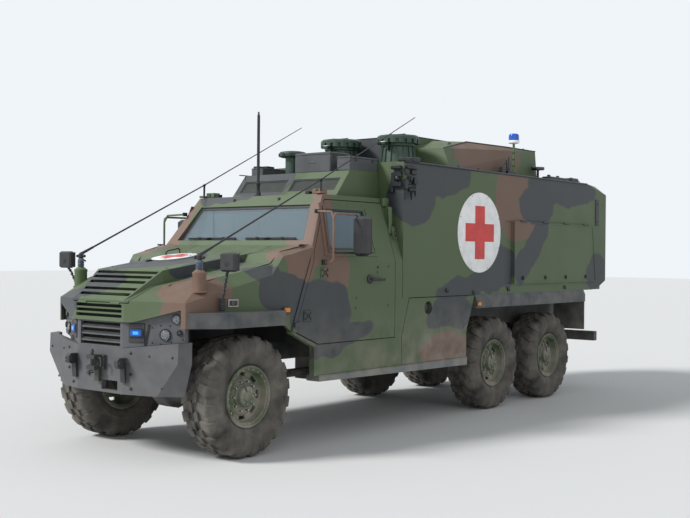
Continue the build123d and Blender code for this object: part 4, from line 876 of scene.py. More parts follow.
def make_nose_trim():
    form = Form()
    for _ in form.both():
        form.tube(SEAM, 4.2, dark_core, 6)
        # lamp with a pale frame on the fender
        lean = Matrix.Rotation(-0.165, 3, "Z")
        form.block((165, 966, 1380), (112, 14, 72), steel, lean, 12)
        form.block((165, 972, 1380), (84, 12, 46), black_plastic, lean, 8)
        form.block((175, 978, 1380), (30, 6, 30), clear_lens, lean)
        # low lug where the hood's facets meet, and the hood catch beside the seam
        form.block((520, 560, 1541), (80, 34, 12), green_paint, Matrix.Rotation(0.2, 3, "Y"))
        form.block((-700, 1000, 1902), (60, 30, 16))
    form.place("nose_fittings", "hull", "black_trim")


# Aerials on their pots, and the front mirrors
WHIP_Y = 831
POT_X = 442
# station, z of the foot, the clip and the tip
WHIP = ((POT_X, 1800), (-1170, 2553), (-2749, 3329))
POT = (0, 72, 12, 72, 16, 60, 150, 60, 156, 63, 176, 63, 182, 50, 194, 40)
RIBS = [reach for z in range(196, 261, 16) for reach in (z, 34, z + 6, 28)]
INSULATOR = (190, 34, *RIBS, 280, 26, 286, 20)
MAST = (
    0, 56, 12, 56, 16, 30, 50, 26, 56, 18, 120, 18, 126, 22, 150, 22,
    156, 15.5, 860, 15, 866, 10, 894, 8.5, 897, 4,
)


def make_aerials():
    form = Form()
    for paint in form.both():
        base = vec(POT_X, WHIP_Y, 1475)
        form.lathe(base, UP, POT, paint, 32)
        for spoke in spokes(8):
            form.bolt(base + 66 * spoke + UP * 12, UP, 4, paint)
        form.lathe(base, UP, INSULATOR, porcelain, 24)
        # hinge block with its side levers
        head = vec(POT_X, WHIP_Y, 1785)
        form.lathe(head - UP * 30, UP, (0, 18, 10, 26, 40, 26, 52, 16, 60, 12), sides=20)
        form.rod(head + vec(0, -60, -6), head + vec(0, 60, -6), 7)
        for end in (1, -1):
            form.lathe(head + vec(0, end * 52, -6), end * LEFT, (-8, 14, 6, 14, 10, 9), sides=12)
        form.rod(head + vec(-10, 0, -30), head + vec(-55, 0, -55), 8)
        # the rod, tied down to the cab's roof: thick at its foot, thin beyond the clip
        foot, clip, tip = (vec(x, WHIP_Y, z) for x, z in WHIP)
        run = (clip - foot).normalized()
        form.rod(foot - run * 10, foot + run * 160, 15, tip=11)
        form.rod(foot + run * 150, clip, 9.5, sides=10, tip=7)
        form.rod(clip, tip, 6.8, sides=10, tip=4.2)
        form.lathe(clip - run * 15, run, (0, 11, 30, 11), sides=12)
        # clip post
        post = vec(clip.x, WHIP_Y, CAB_TOP_Z + LIFT)
        form.block(post + UP * 12, (90, 64, 22), paint)
        form.rod(post + UP * 20, clip - UP * 16, 11)
        form.tube(arc(clip, 16, 160, 380, 8, LEFT), 5)
        # front mirror on its sprung stalk
        mirror = vec(376, 1136, 1742)
        form.block(mirror + FORE * 6, (66, 184, 164), black_plastic, bevel=22)
        form.block(mirror - FORE * 30, (12, 168, 148), black_plastic, bevel=10)
        form.block(mirror - FORE * 36.5, (4, 150, 130), mirror_glass, bevel=1)
        form.lathe(mirror + vec(34, 0, -10), FORE, (0, 32, 6, 30, 9, 14), sides=20)
        for rib in range(-2, 3):
            form.block((315, 984, 1375 + 22 * rib), (48, 50, 14))
        form.block((315, 984, 1375), (36, 40, 112))
        low = vec(318, 1002, 1430)
        high = mirror - vec(0, 30, 82)
        stalk = [low, low + vec(4, 6, 50)]
        for step in range(1, 10):
            stalk.append(low.lerp(high, 0.12 + 0.086 * step) + FORE * (7 if step % 2 else -7))
        form.tube(stalk + [high], 9.5)
        for share in (0.15, 0.30, 0.45, 0.60, 0.75, 0.90):
            form.lathe(low.lerp(high, share), high - low, (-10, 10, -5, 14, 5, 14, 10, 10), sides=10)
        form.rod(high - UP * 12, high + vec(0, 20, 30), 13)
    # upright aerial on the header
    foot = vec(-1300, -150, CAB_TOP_Z + LIFT)
    form.lathe(foot, UP, MAST, sides=20)
    for spoke in spokes(6):
        form.bolt(foot + 43 * spoke + UP * 12, UP, 6)
    form.place("aerials_mirrors", "hull", "black_trim", ("mirrors_aerials",))


# Windscreen trim and wipers, drawn in the pane's own plane
PANE_BASE = (-881, 893, 1928)
PANE_TOP = (-1100, 775, 2292)
PANE_UP = vec(PANE_TOP[0] - PANE_BASE[0], 0, PANE_TOP[2] - PANE_BASE[2])
PANE_HEIGHT = PANE_UP.length
PANE_UP.normalize()
PANE_OUT = LEFT.cross(PANE_UP)


def pane_spot(y, up, out=0):
    return vec(PANE_BASE[0], y, PANE_BASE[2]) + PANE_UP * up + PANE_OUT * out


def pane_line(grow_low, grow_high, rise, out):
    """The pane's corners from its left foot over the top, grown sideways and upwards."""
    low, high = PANE_BASE[1] + grow_low, PANE_TOP[1] + grow_high
    down, up = (-26, PANE_HEIGHT + rise) if rise else (0, PANE_HEIGHT)
    return [pane_spot(y, z, out) for y, z in ((low, down), (high, up), (-high, up), (-low, down))]


def make_windscreen_trim():
    form = Form()
    form.border(pane_line(0, 0, 0, 1), PANE_OUT, 24, 6, black_plastic)
    wide = pane_line(30, 24, 30, 0)
    for run, pitch in ((wide[0:2], 85), (wide[1:3], 120), (wide[2:4], 85)):
        form.bolts(run, PANE_OUT, pitch, 6)
    # wipers parked along the foot of the pane
    for start, end, pivot in ((760, 80, 360), (-60, -760, -420)):
        middle = (start + end) / 2
        turn = turned(PANE_OUT, LEFT, PANE_UP)
        form.block(pane_spot(middle, 36, 14), (10, start - end, 22), black_plastic, turn)
        form.rod(pane_spot(start, 40, 24), pane_spot(end, 40, 24), 5)
        form.lathe(pane_spot(pivot, -45, -12), PANE_OUT, (0, 24, 34, 20, 40, 12), sides=16)
        arm = ((pivot, -45, 26), (pivot - 50, -10, 36), (middle - 60, 30, 34), (middle, 40, 28))
        form.tube([pane_spot(*point) for point in arm], 8)
        for share in (0.25, 0.75):
            form.block(pane_spot(start + (end - start) * share, 40, 26), (12, 40, 20))
    form.place("windscreen_trim", "hull", "black_trim")


# Raised roof: dark panels in the slope, lamps and brackets on the header
RAISED_TOP_Z = 2685
SLOPE_FOOT = vec(-1498, 0, CAB_TOP_Z)
SLOPE_TOP = vec(-1720, 0, RAISED_TOP_Z)
SLOPE_UP = (SLOPE_TOP - SLOPE_FOOT).normalized()
SLOPE_OUT = LEFT.cross(SLOPE_UP)


def slope_spot(y, up, out=0):
    return (SLOPE_FOOT + SLOPE_TOP) / 2 + vec(0, y, -8) + SLOPE_UP * up + SLOPE_OUT * out


def make_roof_front():
    form = Form()
    for y in (360, -360):
        form.block(slope_spot(y, 0, -7), (632, 162, 8), mesh_panel, turned(LEFT, SLOPE_UP, SLOPE_OUT), 2)
        form.border([slope_spot(y + a * 318, b * 83, -3) for a, b in CORNERS], SLOPE_OUT, 16, 5, black_metal)
    rim = [slope_spot(a * 725, b * 128, LIFT) for a, b in CORNERS]
    form.bolts(rim + rim[:1], SLOPE_OUT, 140, 5.5, green_metal)
    for y in (-317, 317):
        form.lathe((-1128, y, 2372), FORE, (-20, 17, 16, 17, 20, 12), sides=16)
        form.lathe((-1128, y, 2372), FORE, (19, 12, 22, 9), clear_lens, 16)
    for paint in form.both():
        form.block((-1235, 760, CAB_TOP_Z + 30), (90, 120, 50), paint)
        form.block((-1205, 640, CAB_TOP_Z + 18), (60, 50, 34))
        form.lathe((-1190, 760, CAB_TOP_Z + 36), FORE, (0, 18, 6, 15), clear_lens, 16)
        # bead along the raised roof's edge
        form.rod((-1620, 746, RAISED_TOP_Z + 1), (-2190, 746, RAISED_TOP_Z + 1), 6, green_paint, 8)
    form.place("roof_front_fittings", "hull", "body")


# Cab doors: mirror, handle, window frame, hinges; outlines are station and z
WINDOW = ((-1050, 1860), (-1120, 2262), (-1720, 2262), (-1720, 1860))
DOOR_FRAME = ((-955, 1800), (-1050, 2318), (-1790, 2318), (-1790, 1800))
DOOR_BOLTS = ((-1778, 1640), (-1440, 1387), (-1426, 1289), (-1960, 1300), (-1960, 1700))
MIRROR = vec(-1290, 1260, 1995)
# Station and y of the mirror's arm, and where its brace meets the wall
ARM_X = -930
ARM_Y = 1200
BRACE_Z = 2232
BRACE_Y = leaning_y(BRACE_Z)
GRIP = vec(-1730, BODY_HALF + 30.5, 1572)


def wall_spot(station, z, out=0):
    """Point on the cab's wall and its outward direction."""
    if z < BELT_Z:
        return vec(station, BODY_HALF + out, z), LEFT
    normal = vec(0, CAB_TOP_Z - BELT_Z, CAB_LEAN).normalized()
    return vec(station, leaning_y(z), z) + normal * out, normal


def wall_line(corners, grow, out):
    """Outline on the wall, grown on all four sides."""
    return [wall_spot(x + (grow if x > -1300 else -grow), z + (grow if z > 2000 else -grow), out)[0]
            for x, z in corners]


def make_doors():
    for hand, side in SIDES.items():
        form = Form(side=side)
        paint = FITTING_PAINT[side]
        normal = wall_spot(0, 2000)[1]
        form.border(wall_line(WINDOW, 0, LIFT), normal, 16, 4, black_plastic)
        form.border(wall_line(WINDOW, 22, 0), normal, 24, 9)
        form.border(wall_line(DOOR_FRAME, 0, 0), normal, 34, 7)
        line = wall_line(DOOR_FRAME, -16, 6)
        form.bolts(line + line[:1], normal, 115, 6.5, camouflage)
        # mirror housing with a stippled back, and its glass behind
        form.block(MIRROR, (122, 166, 386), black_plastic, bevel=34)
        form.block(MIRROR - FORE * 60, (12, 140, 350), black_plastic, bevel=10)
        form.block(MIRROR - vec(65.5, 0, 30), (4, 124, 270), mirror_glass, bevel=1)
        for row in range(-3, 4):
            for column in range(-1, 2):
                form.lathe(MIRROR + vec(60.5, 36 * column, 46 * row), FORE, (-4, 9, 1.2, 7), black_plastic, 8)
        # bent arm, from the foot below the window up and back to the mirror
        x, y, end = ARM_X, ARM_Y, MIRROR.x
        arm = [(x, BODY_HALF + 2, 1742), (x, y - 30, 1742), (x, y, 1770), (x, y, 2150), (x - 6, y, 2186)]
        arm += [(x - 34, y, 2204), (end + 30, y, 2204), (end, y, 2188), (end, y, 2150)]
        form.tube(arm, 11.5, paint, 12)
        form.tube(((x, y, 2150), (x - 12, y - 40, 2222), (x - 60, BRACE_Y + 4, BRACE_Z)), 10.5, paint, 12)
        form.tube(((x, y, 1850), (x - 30, y, 1832), (end + 20, y, 1832), (end, y, 1850)), 10.5, sides=12)
        for z in (2145, 1835):
            form.lathe((end, y, z), UP, (0, 18, 30, 18), sides=16)
        form.block((x, BODY_HALF + 10, 1742), (64, 18, 52))
        form.block((x - 60, BRACE_Y + 10, BRACE_Z), (60, 20, 40))
        # grip with its rose and lock
        form.lathe(GRIP + vec(85, -30, 0), LEFT, (0, 46, 10, 46, 22, 30), black_plastic, 24)
        form.tube(offset(GRIP, (85, -10, 0), (80, 8, 0), (50, 15, 0), (-110, 13, -4)), 14, black_plastic, 12)
        form.lathe(*wall_spot(-1778, 1690), (0, 13, 6, 13, 8, 9), sides=16)
        for station, z in DOOR_BOLTS:
            form.bolt(*wall_spot(station, z), 10, camouflage)
        # hinge plates near the raked front edge
        for station, z in ((-938, 1640), (-700, 1240)):
            place, out = wall_spot(station, z, 6)
            form.block(place, (110, 12, 100), camouflage)
            for a, b in CORNERS:
                form.bolt(place + vec(34 * a, 6, 28 * b), out, 9)
            form.tube(arc(place + LEFT * 10, 18, 0, 340, 12), 4, sides=6)
        form.place(f"door_trim_{hand}", f"cab_door_{hand}", "black_trim", (f"door_fittings_{hand}",))


# Load body: discs, lockers, edge trim and the small gear along the roof
DISC = vec(-3700, BODY_HALF, 2083)
DISC_R = 461
LOCKER_OUT = BODY_HALF + 22
LOCKER = [vec(x, LOCKER_OUT, z) for x, z in ((-4460, 1480), (-4460, 2240), (-6560, 2240), (-6660, 1480))]
# Middle, size and bevel of the gear at the front upper corner, on the side and before the box
CORNER_GEAR = (
    ((-2235, 1090, 2560), (50, 34, 110), 6), ((-2240, 1092, 2690), (60, 30, 60), 6),
    ((-2300, 1090, 2620), (50, 24, 50), 6), ((-2300, 1092, 2540), (70, 24, 30), 6),
    ((-2250, 1050, BOX_TOP_Z + 20), (110, 90, 40), 6), ((-2370, 1090, 2690), (90, 34, 50), 6),
    ((-2390, 1094, 2600), (60, 40, 70), 6), ((-2330, 1092, 2735), (180, 30, 26), 6),
    ((-2345, 1090, 2505), (120, 30, 34), 6), ((-2420, 1060, BOX_TOP_Z + 26), (130, 80, 52), 6),
    ((-2186, 1010, 2560), (44, 110, 60), 8), ((-2186, 1020, 2660), (50, 90, 60), 8),
    ((-2186, 960, 2610), (30, 50, 150), 8), ((-2186, 1000, 2735), (60, 120, 40), 8),
    ((-2186, 930, 2500), (30, 60, 60), 8),
)
CORNER_CABLES = (
    ((-2330, 1092, 2600), (-2316, 1104, 2400), (-2280, 1096, 2560)),
    ((-2400, 1092, 2600), (-2386, 1104, 2440), (-2350, 1096, 2560)),
    ((-2235, 1092, 2510), (-2230, 1096, 2450), (-2226, 1094, 2400)),
)
WALL_RINGS = ((-3037, 1434), (-3594, 1400), (-4360, 1420), (-5800, 1420))


def make_cross_discs():
    for hand, side in SIDES.items():
        form = Form(side=side)
        form.lathe(DISC, LEFT, (LIFT, DISC_R, 5, DISC_R, 6.5, DISC_R - 4), white_paint, 96)
        cross_on(form, DISC + LEFT * 6.6, UP, FORE, DISC_R)
        for spoke in spokes(8, 0.5, FORE, UP):
            form.lathe(DISC + (DISC_R - 16) * spoke, LEFT, (4, 6, 8.5, 5), sides=10)
        form.place(f"cross_disc_{hand}", "hull", "panel_grey")


def make_box_fittings():
    for hand, side in SIDES.items():
        form = Form(side=side)
        # locker lid: raised edge, hinge line above and turn catches below
        form.border(LOCKER, LEFT, 20, 5)
        for share in (0.10, 0.37, 0.63, 0.90):
            hinge = LOCKER[1].lerp(LOCKER[2], share) + LEFT * 4
            form.rod(hinge - FORE * 70, hinge + FORE * 70, 10)
            catch = vec(hinge.x, LOCKER_OUT, LOCKER[0].z + 70)
            form.lathe(catch, LEFT, (0, 26, 8, 26, 10, 18), sides=20)
            form.block(catch + LEFT * 14, (12, 10, 44))
        # dark strip along the roof's edge, with lashing eyes
        form.rod((-2215, BODY_HALF + 1, BOX_TOP_Z - 4), (-6410, BODY_HALF + 1, BOX_TOP_Z - 4), 12, sides=8)
        for step in range(10):
            eye = vec(-2450 - 420 * step, BODY_HALF - 30, BOX_TOP_Z + 4)
            form.block(eye, (70, 50, 8))
            form.tube(arc(eye + UP * 4, 20, 0, 180, 8), 5, sides=8)
        for middle, size, bevel in CORNER_GEAR:
            form.block(middle, size, bevel=bevel)
        form.lathe((-2300, BODY_HALF, 2620), LEFT, (0, 20, 36, 20, 40, 14), sides=16)
        form.lathe((-2180, 1030, 2615), FORE, (0, 24, 40, 22, 46, 12), sides=16)
        for cable in CORNER_CABLES:
            form.tube(cable, 6, sides=8)
        # bracket and strap on the lash rail
        form.block(wall_spot(-2110, 2360, 24)[0], (90, 44, 90), green_paint, bevel=8)
        strap = wall_spot(-2110, 2140, 22)[0]
        form.block(strap, (44, 28, 340), green_paint, bevel=8)
        form.block(strap - UP * 140, (60, 40, 70), bevel=8)
        # rings and studs on the lash rail and on the wall
        for z in (2010, 2120, 2230, 2340):
            place, out = wall_spot(-2140, z, 28)
            form.tube(arc(place + out * 8, 15, 0, 345, 12, FORE, side * out.cross(FORE)), 4, sides=6)
            form.bolt(place + UP * 40, out, 7)
        for station, z in WALL_RINGS:
            form.block((station, BODY_HALF + 6, z), (50, 12, 40))
            form.tube(arc((station, BODY_HALF + 14, z - 6), 18, 180, 360, 8), 5, sides=8)
        # fuel filler in its round recess
        filler = (-2680, BODY_HALF - 52, 1250)
        form.lathe(filler, LEFT, (-10, 84, 1, 84, 3, 40, 12, 40), dark_core, 32)
        form.lathe(filler, LEFT, (3, 46, 22, 46, 26, 38))
        # frame of the dark rectangle on the slanted rear corner
        form.block((-6720, BODY_HALF + 4, 2420), (100, 10, 360))
        for z in (2300, 2540):
            form.bolt((-6720, BODY_HALF + 8, z), LEFT, 10)
        # tread plates along the side step
        for station in (-1250, -1750, -2250, -2750, -3220):
            form.block((station, BODY_HALF, 669.5), (400, 24, 4), grey_paint)
        form.place(f"box_fittings_{hand}", "hull", "body")

    form = Form()
    # gear along the roof's left edge: signal lamp, junction boxes and the pole's clamp
    lamp = vec(-5330, 930, BOX_TOP_Z)
    form.block(lamp + UP * 12, (170, 90, 24))
    form.rod(lamp + UP * 20, lamp + UP * 130, 16)
    form.block(lamp + UP * 140, (200, 90, 44), turn=Matrix.Rotation(0.06, 3, "Y"), bevel=10)
    form.lathe(lamp + vec(90, 0, 146), (1, 0, 0.05), (0, 20, 60, 17, 66, 10), sides=16)
    for station, length, height in ((-5750, 420, 55), (-6240, 200, 70), (-6010, 120, 40)):
        form.block((station, 930, BOX_TOP_Z + height / 2), (length, 130, height), bevel=10)
    for station in (-5620, -5860, -6240):
        form.lathe((station, 930, BOX_TOP_Z + 50), UP, (0, 24, 26, 22, 32, 10), black_plastic, 16)
    clamp = vec(-4560, 945, BOX_TOP_Z)
    form.block(clamp + UP * 30, (110, 70, 60))
    form.block(clamp + vec(130, 0, 50), (80, 50, 100))
    for dx, dz in ((-50, 170), (0, 230), (60, 190)):
        form.rod(clamp + vec(dx * 0.4, 0, 50), clamp + vec(dx, 10, dz), 8)
    form.rod(clamp + vec(170, 0, 90), clamp + vec(60, 0, 150), 9)
    # the same small boxes on the other edge
    for station, length in ((-3400, 300), (-5200, 240)):
        form.block((station, -930, BOX_TOP_Z + 30), (length, 120, 60), bevel=10)
    form.place("roof_edge_gear", "hull", "black_trim")


# Bonnet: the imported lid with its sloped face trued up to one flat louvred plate
LOUVRE_HALF = 455
NOSE_HALF = 345
PLATE = 26
# share of the way up the sloped face, half width
LOUVRE_SLOTS = ((0.193, 344), (0.365, 361), (0.589, 385), (0.756, 402), (0.910, 417))
SLOT_HALF = 19
FACE_RUN = vec(LOUVRE_X - NOSE_X, 0, LOUVRE_Z - FOLD_Z)
FACE_UP = FACE_RUN.normalized()
FACE_OUT = LEFT.cross(FACE_UP)


def face_spot(share, y=0, out=0):
    """Point on the sloped face; share is 0 at the fold and 1 at the top."""
    return vec(NOSE_X, y, FOLD_Z) + FACE_RUN * share + FACE_OUT * out


def cut_away(piece, form, name):
    """Cuts a form out of a piece's mesh."""
    tool = bpy.data.objects.new(name, form.bake(name))
    scene.collection.objects.link(tool)
    cut = piece.modifiers.new("cut", "BOOLEAN")
    cut.operation = "DIFFERENCE"
    cut.solver = "EXACT"
    cut.object = tool
    bpy.context.view_layer.update()
    shaped = bpy.data.meshes.new_from_object(piece.evaluated_get(bpy.context.evaluated_depsgraph_get()))
    piece.modifiers.clear()
    piece.data = shaped
    bpy.data.objects.remove(tool)


def make_bonnet():
    lid = bpy.data.objects.new("bonnet_lid_shell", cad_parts["bonnet"].data.copy())
    scene.collection.objects.link(lid)
    lid.data.materials.clear()
    lid.data.materials.append(camouflage)
    # everything above the sloped face goes, and the slots are cut into a flat plate that lies in it
    form = Form()
    low, high = (face_spot(share, -480, -1) for share in (-0.25, 1))
    top = high + UP * 150
    form.prism((low, high, top, vec(low.x, low.y, top.z)), LEFT * 960, camouflage)
    cut_away(lid, form, "wedge")
    form = Form()
    base = ((0, -NOSE_HALF), (0, NOSE_HALF), (1, LOUVRE_HALF), (1, -LOUVRE_HALF))
    form.prism([face_spot(*corner) for corner in base], FACE_OUT * -PLATE, camouflage)
    plate = form.place("louvre_plate", "bonnet_lid", "body")
    slots = Form()
    slats = Form()
    for share, half in LOUVRE_SLOTS:
        corners = [face_spot(share, a * half, 10) + FACE_UP * (b * SLOT_HALF) for a, b in CORNERS]
        slots.prism(corners, FACE_OUT * -60, camouflage)
        # slat of the louvre, turned down behind its slot
        foot = [face_spot(share, y, -PLATE) - FACE_UP * SLOT_HALF for y in (-half, half)]
        step = FACE_UP * 20 - FACE_OUT * 16
        slats.prism((*foot, foot[1] + step, foot[0] + step), FACE_UP * 3, camouflage)
    cut_away(plate, slots, "slots")
    slats.place("louvre_slats", "bonnet_lid", "body")
    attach(lid, "bonnet_lid")
    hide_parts("bonnet")


# Raised module on the roof, with its real slanting shoulders
# station, half width, z of the corners, from the front to the back
MODULE_CORNERS = (
    (-3320, 420, BOX_TOP_Z), (-3420, 860, BOX_TOP_Z), (-3350, 400, 3060),
    (-3440, 740, 3060), (-3700, 400, 3185), (-4080, 640, 3190),
    (-4870, 750, 3185), (-5430, 830, 3170), (-5430, 860, BOX_TOP_Z),
)
MODULE_SEAM = ((-3450, 743, 3062), (-4080, 643, 3192), (-4870, 753, 3187), (-5428, 833, 3172))
# front, rear, half width and top of its upright front behind the hatches
MODULE_FRONT = (-3250, -4040, 390, 3205)


def make_roof_module():
    form = Form()
    form.materials.append(camouflage)
    for station, y, z in MODULE_CORNERS:
        for _ in form.both():
            form.vertex((station, y, z + LIFT))
    bmesh.ops.convex_hull(form.mesh, input=form.mesh.verts)
    bmesh.ops.dissolve_limit(form.mesh, angle_limit=0.01, verts=form.mesh.verts, edges=form.mesh.edges)
    # lifting eyes, seams and the lid on top
    for _ in form.both():
        for foot in ((-3720, 640, 3120), (-5300, 730, 3172)):
            form.tube(arc(foot, 28, 0, 180, 8), 7, sides=8)
        form.tube(MODULE_SEAM, 7, sides=6)
    form.block((-4550, 0, 3186), (900, 700, 10), camouflage)
    # upright front with a dark edge
    front, rear, half, top = MODULE_FRONT
    height = top - BOX_TOP_Z
    middle = ((front + rear) / 2, 0, BOX_TOP_Z + height / 2 + LIFT)
    form.block(middle, (front - rear, 2 * half, height), camouflage, bevel=6)
    form.rod((front, -half, top), (front, half, top), 6, sides=8)
    for _ in form.both():
        form.rod((front, half, top), (rear, half, top), 6, sides=8)
    form.place("roof_module", "hull", "body", ("roof_box",), 5)


# Roof gear: hatch necks, bins, vent and beacon; profiles are height and radius in turn
HATCHES = {"left": vec(-3000, 420, BOX_TOP_Z), "right": vec(-3000, -420, BOX_TOP_Z)}
HATCH_NECK = (LIFT, 232, 16, 232, 20, 204, 240, 178, 250, 196, 280, 196, 280, 150, 24, 150, LIFT, 150)
HATCH_PIN = vec(285, 0, 285)
HATCH_LID_Z = 372.5
# middle station, y, length, width, height of the bins on the cab roof
ROOF_BINS = ((-1957, 660, 470, 178, 152), (-2000, -660, 380, 178, 90), (-1930, 200, 340, 500, 215))
VENT = vec(-1960, -260, RAISED_TOP_Z)
BEACON = vec(-4700, 940, BOX_TOP_Z)


def make_roof_gear():
    form = Form()
    for foot in HATCHES.values():
        form.lathe(foot, UP, HATCH_NECK, green_metal, 48, loop=True)
        form.lathe(foot, UP, (1, 149, 6, 149), dark_core, 48)
        for spoke in spokes(16, 0.5):
            form.bolt(foot + spoke * 218 + UP * 16, UP, 9, green_metal)
            lean = facing(spoke) @ Matrix.Rotation(-0.11, 3, "Y")
            form.block(foot + spoke * 188 + UP * 150, (30, 14, 190), green_metal, lean)
        pin = foot + HATCH_PIN
        form.rod(pin - LEFT * 29, pin + LEFT * 29, 8, steel, 16)
        form.block(pin + vec(-62, 0, -18), (130, 52, 14), green_metal)
        form.block(pin + vec(-85, 0, -50), (40, 30, 60), green_metal)
    for station, y, length, width, height in ROOF_BINS:
        base = vec(station, y, RAISED_TOP_Z)
        form.block(base + UP * (LIFT + height * 0.44), (length, width, height * 0.88), bin_paint, bevel=8)
        form.block(base + UP * height * 0.925, (length, width, height * 0.13), bin_paint, bevel=7)
        for share in (-0.3, 0.3):
            latch = base + vec(share * length, math.copysign(width / 2 - 1, y), height * 0.80)
            form.block(latch, (36, 10, 44))
        # handle on the front
        x, high, low = length / 2, height * 0.60, height * 0.45
        form.tube(offset(base, (x - 4, -50, high), (x - 2, -46, low), (x - 2, 46, low), (x - 4, 50, high)), 4)
    form.lathe(VENT, UP, (LIFT, 110, 12, 110, 16, 80, 200, 80), green_metal, 32)
    form.lathe(VENT, UP, (196, 120, 204, 150, 232, 155, 256, 140, 264, 100), green_metal, 40)
    for spoke in spokes(10):
        form.block(VENT + spoke * 152 + UP * 222, (12, 34, 34), turn=facing(spoke))
    # beacon: pole, pale base and blue dome
    form.lathe(BEACON, UP, (LIFT, 42, 14, 42, 20, 18, 405, 14.5), green_paint, 20)
    for z in (120, 200, 280):
        form.lathe(BEACON, UP, (z, 19, z + 14, 19), sides=16)
    form.lathe(BEACON, UP, (402, 36, 412, 69, 434, 72, 442, 69), white_paint, 40)
    form.lathe(BEACON, UP, (442, 63, 480, 64, 510, 61, 524, 50, 529.5, 24), blue_lens, 40)
    for z in range(448, 512, 13):
        form.lathe(BEACON, UP, (z, 64.8, z + 4, 64.8), blue_lens, 40)
    form.place("roof_fittings", "hull", "body", ("roof_gear",))
    for hand, foot in HATCHES.items():
        form = Form()
        top = foot + UP * HATCH_LID_Z
        form.lathe(top, UP, (-10, 150, 1, 150, 3, 140), green_metal, 40)
        for spoke in spokes(8, 0.25):
            form.bolt(top + spoke * 180, UP, 10)
            form.block(top + spoke * 205 - UP * 10, (40, 30, 24), green_metal, facing(spoke))
        form.tube(offset(top, (-60, -50, 0), (-60, -50, 30), (-60, 50, 30), (-60, 50, 0)), 7)
        form.lathe(top, UP, (2, 34, 16, 34, 20, 24))
        form.place(f"hatch_trim_{hand}", f"hatch_{hand}", "body")


# Rear doors, and what stands behind the load body
REAR_FACE = BOX_REAR - LIFT
REAR_DOOR_Y = (30, 785)
REAR_DOOR_Z = (1460, 2535)


def door_line(inset, out):
    """Outline of the rear door, inset on all four sides."""
    inner, outer = REAR_DOOR_Y[0] + inset, REAR_DOOR_Y[1] - inset
    foot, top = REAR_DOOR_Z[0] + inset, REAR_DOOR_Z[1] - inset
    corners = ((inner, foot), (inner, top), (outer, top), (outer, foot))
    return [vec(REAR_FACE - out, y, z) for y, z in corners]


def make_rear():
    for hand, side in SIDES.items():
        form = Form(side=side)
        # lock rods with their keepers, the lever and the edge of the door
        for y in (75, 560):
            form.rod((REAR_FACE - 14, y, 1470), (REAR_FACE - 14, y, 2530), 11)
            for z in (1520, 1760, 2060, 2300, 2490):
                form.block((REAR_FACE - 10, y, z), (22, 52, 30))
        form.tube([(REAR_FACE - x, y, 1640) for x, y in ((30, 75), (40, 120), (40, 280))], 10)
        form.border(door_line(0, 0), BACK, 24, 4)
        line = door_line(12, 4)
        form.bolts(line + line[:1], BACK, 160, 7, camouflage)
        for z in (1637, 2032, 2427):
            form.block((REAR_FACE - 5, 720, z), (8, 120, 62), camouflage)
            for y in (686, 754):
                form.bolt((REAR_FACE - 9, y, z), BACK, 7)
        form.place(f"load_door_trim_{hand}", f"load_door_{hand}", "body")
    form = Form()
    for _ in form.both():
        # boarding step's brackets, mud flap stiffeners and reflectors
        form.block((-7030, 300, 800), (40, 60, 200))
        for z in (1180, 1040):
            form.block((-6353, 870, z), (10, 420, 24))
        form.lathe((-6352, 870, 1110), BACK, (0, 45, 6, 45, 10, 20), red_lens)
    form.block((-7040, 0, 860), (70, 660, 30), grey_paint)
    form.lathe((-7076, 0, 700), BACK, (0, 30, 2, 30))
    for y in (-240, -80, 80, 240):
        form.block((-7040, y, 877), (56, 100, 4))
    form.place("rear_fittings", "hull", "black_trim")


# Cab interior: dashboard, steering wheel and two padded seats
SEAT_Y = 470
FLOOR_Z = 1015.3
SEAT_SEGMENTS = 14
# How far a pad's edges fall, depth of its sewn grooves and their width
CROWN = 0.22
GROOVE = 0.10
GROOVE_WIDTH = 0.16
# name, station, height over the floor, size, lean, channels across
PADS = (
    ("seat_cushion", -1560, 305, (500, 480, 150), 0.06, 3),
    ("seat_back", -1800, 600, (640, 460, 110), math.radians(84), 4),
    ("head_rest", -1812, 880, (150, 280, 90), math.radians(88), 1),
)
DASH = ((-865, 1700), (-885, 1740), (-985, 1750), (-1065, 1700), (-1075, 1560), (-1040, 1440), (-865, 1440))
STEERING = vec(-1230, SEAT_Y, 1665)
COLUMN_PITCH = math.radians(35)


def cushion(name, middle, size, lean, channels):
    """Crowned pad whose sides pull in, with sewn channels across it."""
    mesh = bmesh.new()
    bmesh.ops.create_cube(mesh, size=2.0)
    bmesh.ops.subdivide_edges(mesh, edges=mesh.edges, cuts=SEAT_SEGMENTS, use_grid_fill=True)
    turn = Matrix.Rotation(lean, 3, "Y")
    for vertex in mesh.verts:
        p = vertex.co.copy()
        swell = (1 - p.x ** 4) * (1 - p.y ** 4)
        sides = 1 - 0.06 * (1 - p.z ** 2) - 0.05 * max(abs(p.x), abs(p.y)) ** 6 * abs(p.z)
        groove = 0
        if abs(p.z) > 0.9 and abs(p.x) < 0.93:
            wave = math.sin(math.pi * (p.x + 1) / 2 * channels)
            groove = GROOVE * math.exp(-(wave / GROOVE_WIDTH) ** 2)
        shape = vec(p.x * sides, p.y * sides, p.z * (1 - CROWN + CROWN * swell - groove))
        vertex.co = in_frame(middle + turn @ (shape * Vector(size) / 2))
    data = bpy.data.meshes.new(name)
    mesh.to_mesh(data)
    mesh.free()
    data.materials.append(seat_cloth)
    data.shade_smooth()
    piece = bpy.data.objects.new(name, data)
    scene.collection.objects.link(piece)
    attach(piece, "hull")
    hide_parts("cab_interior")


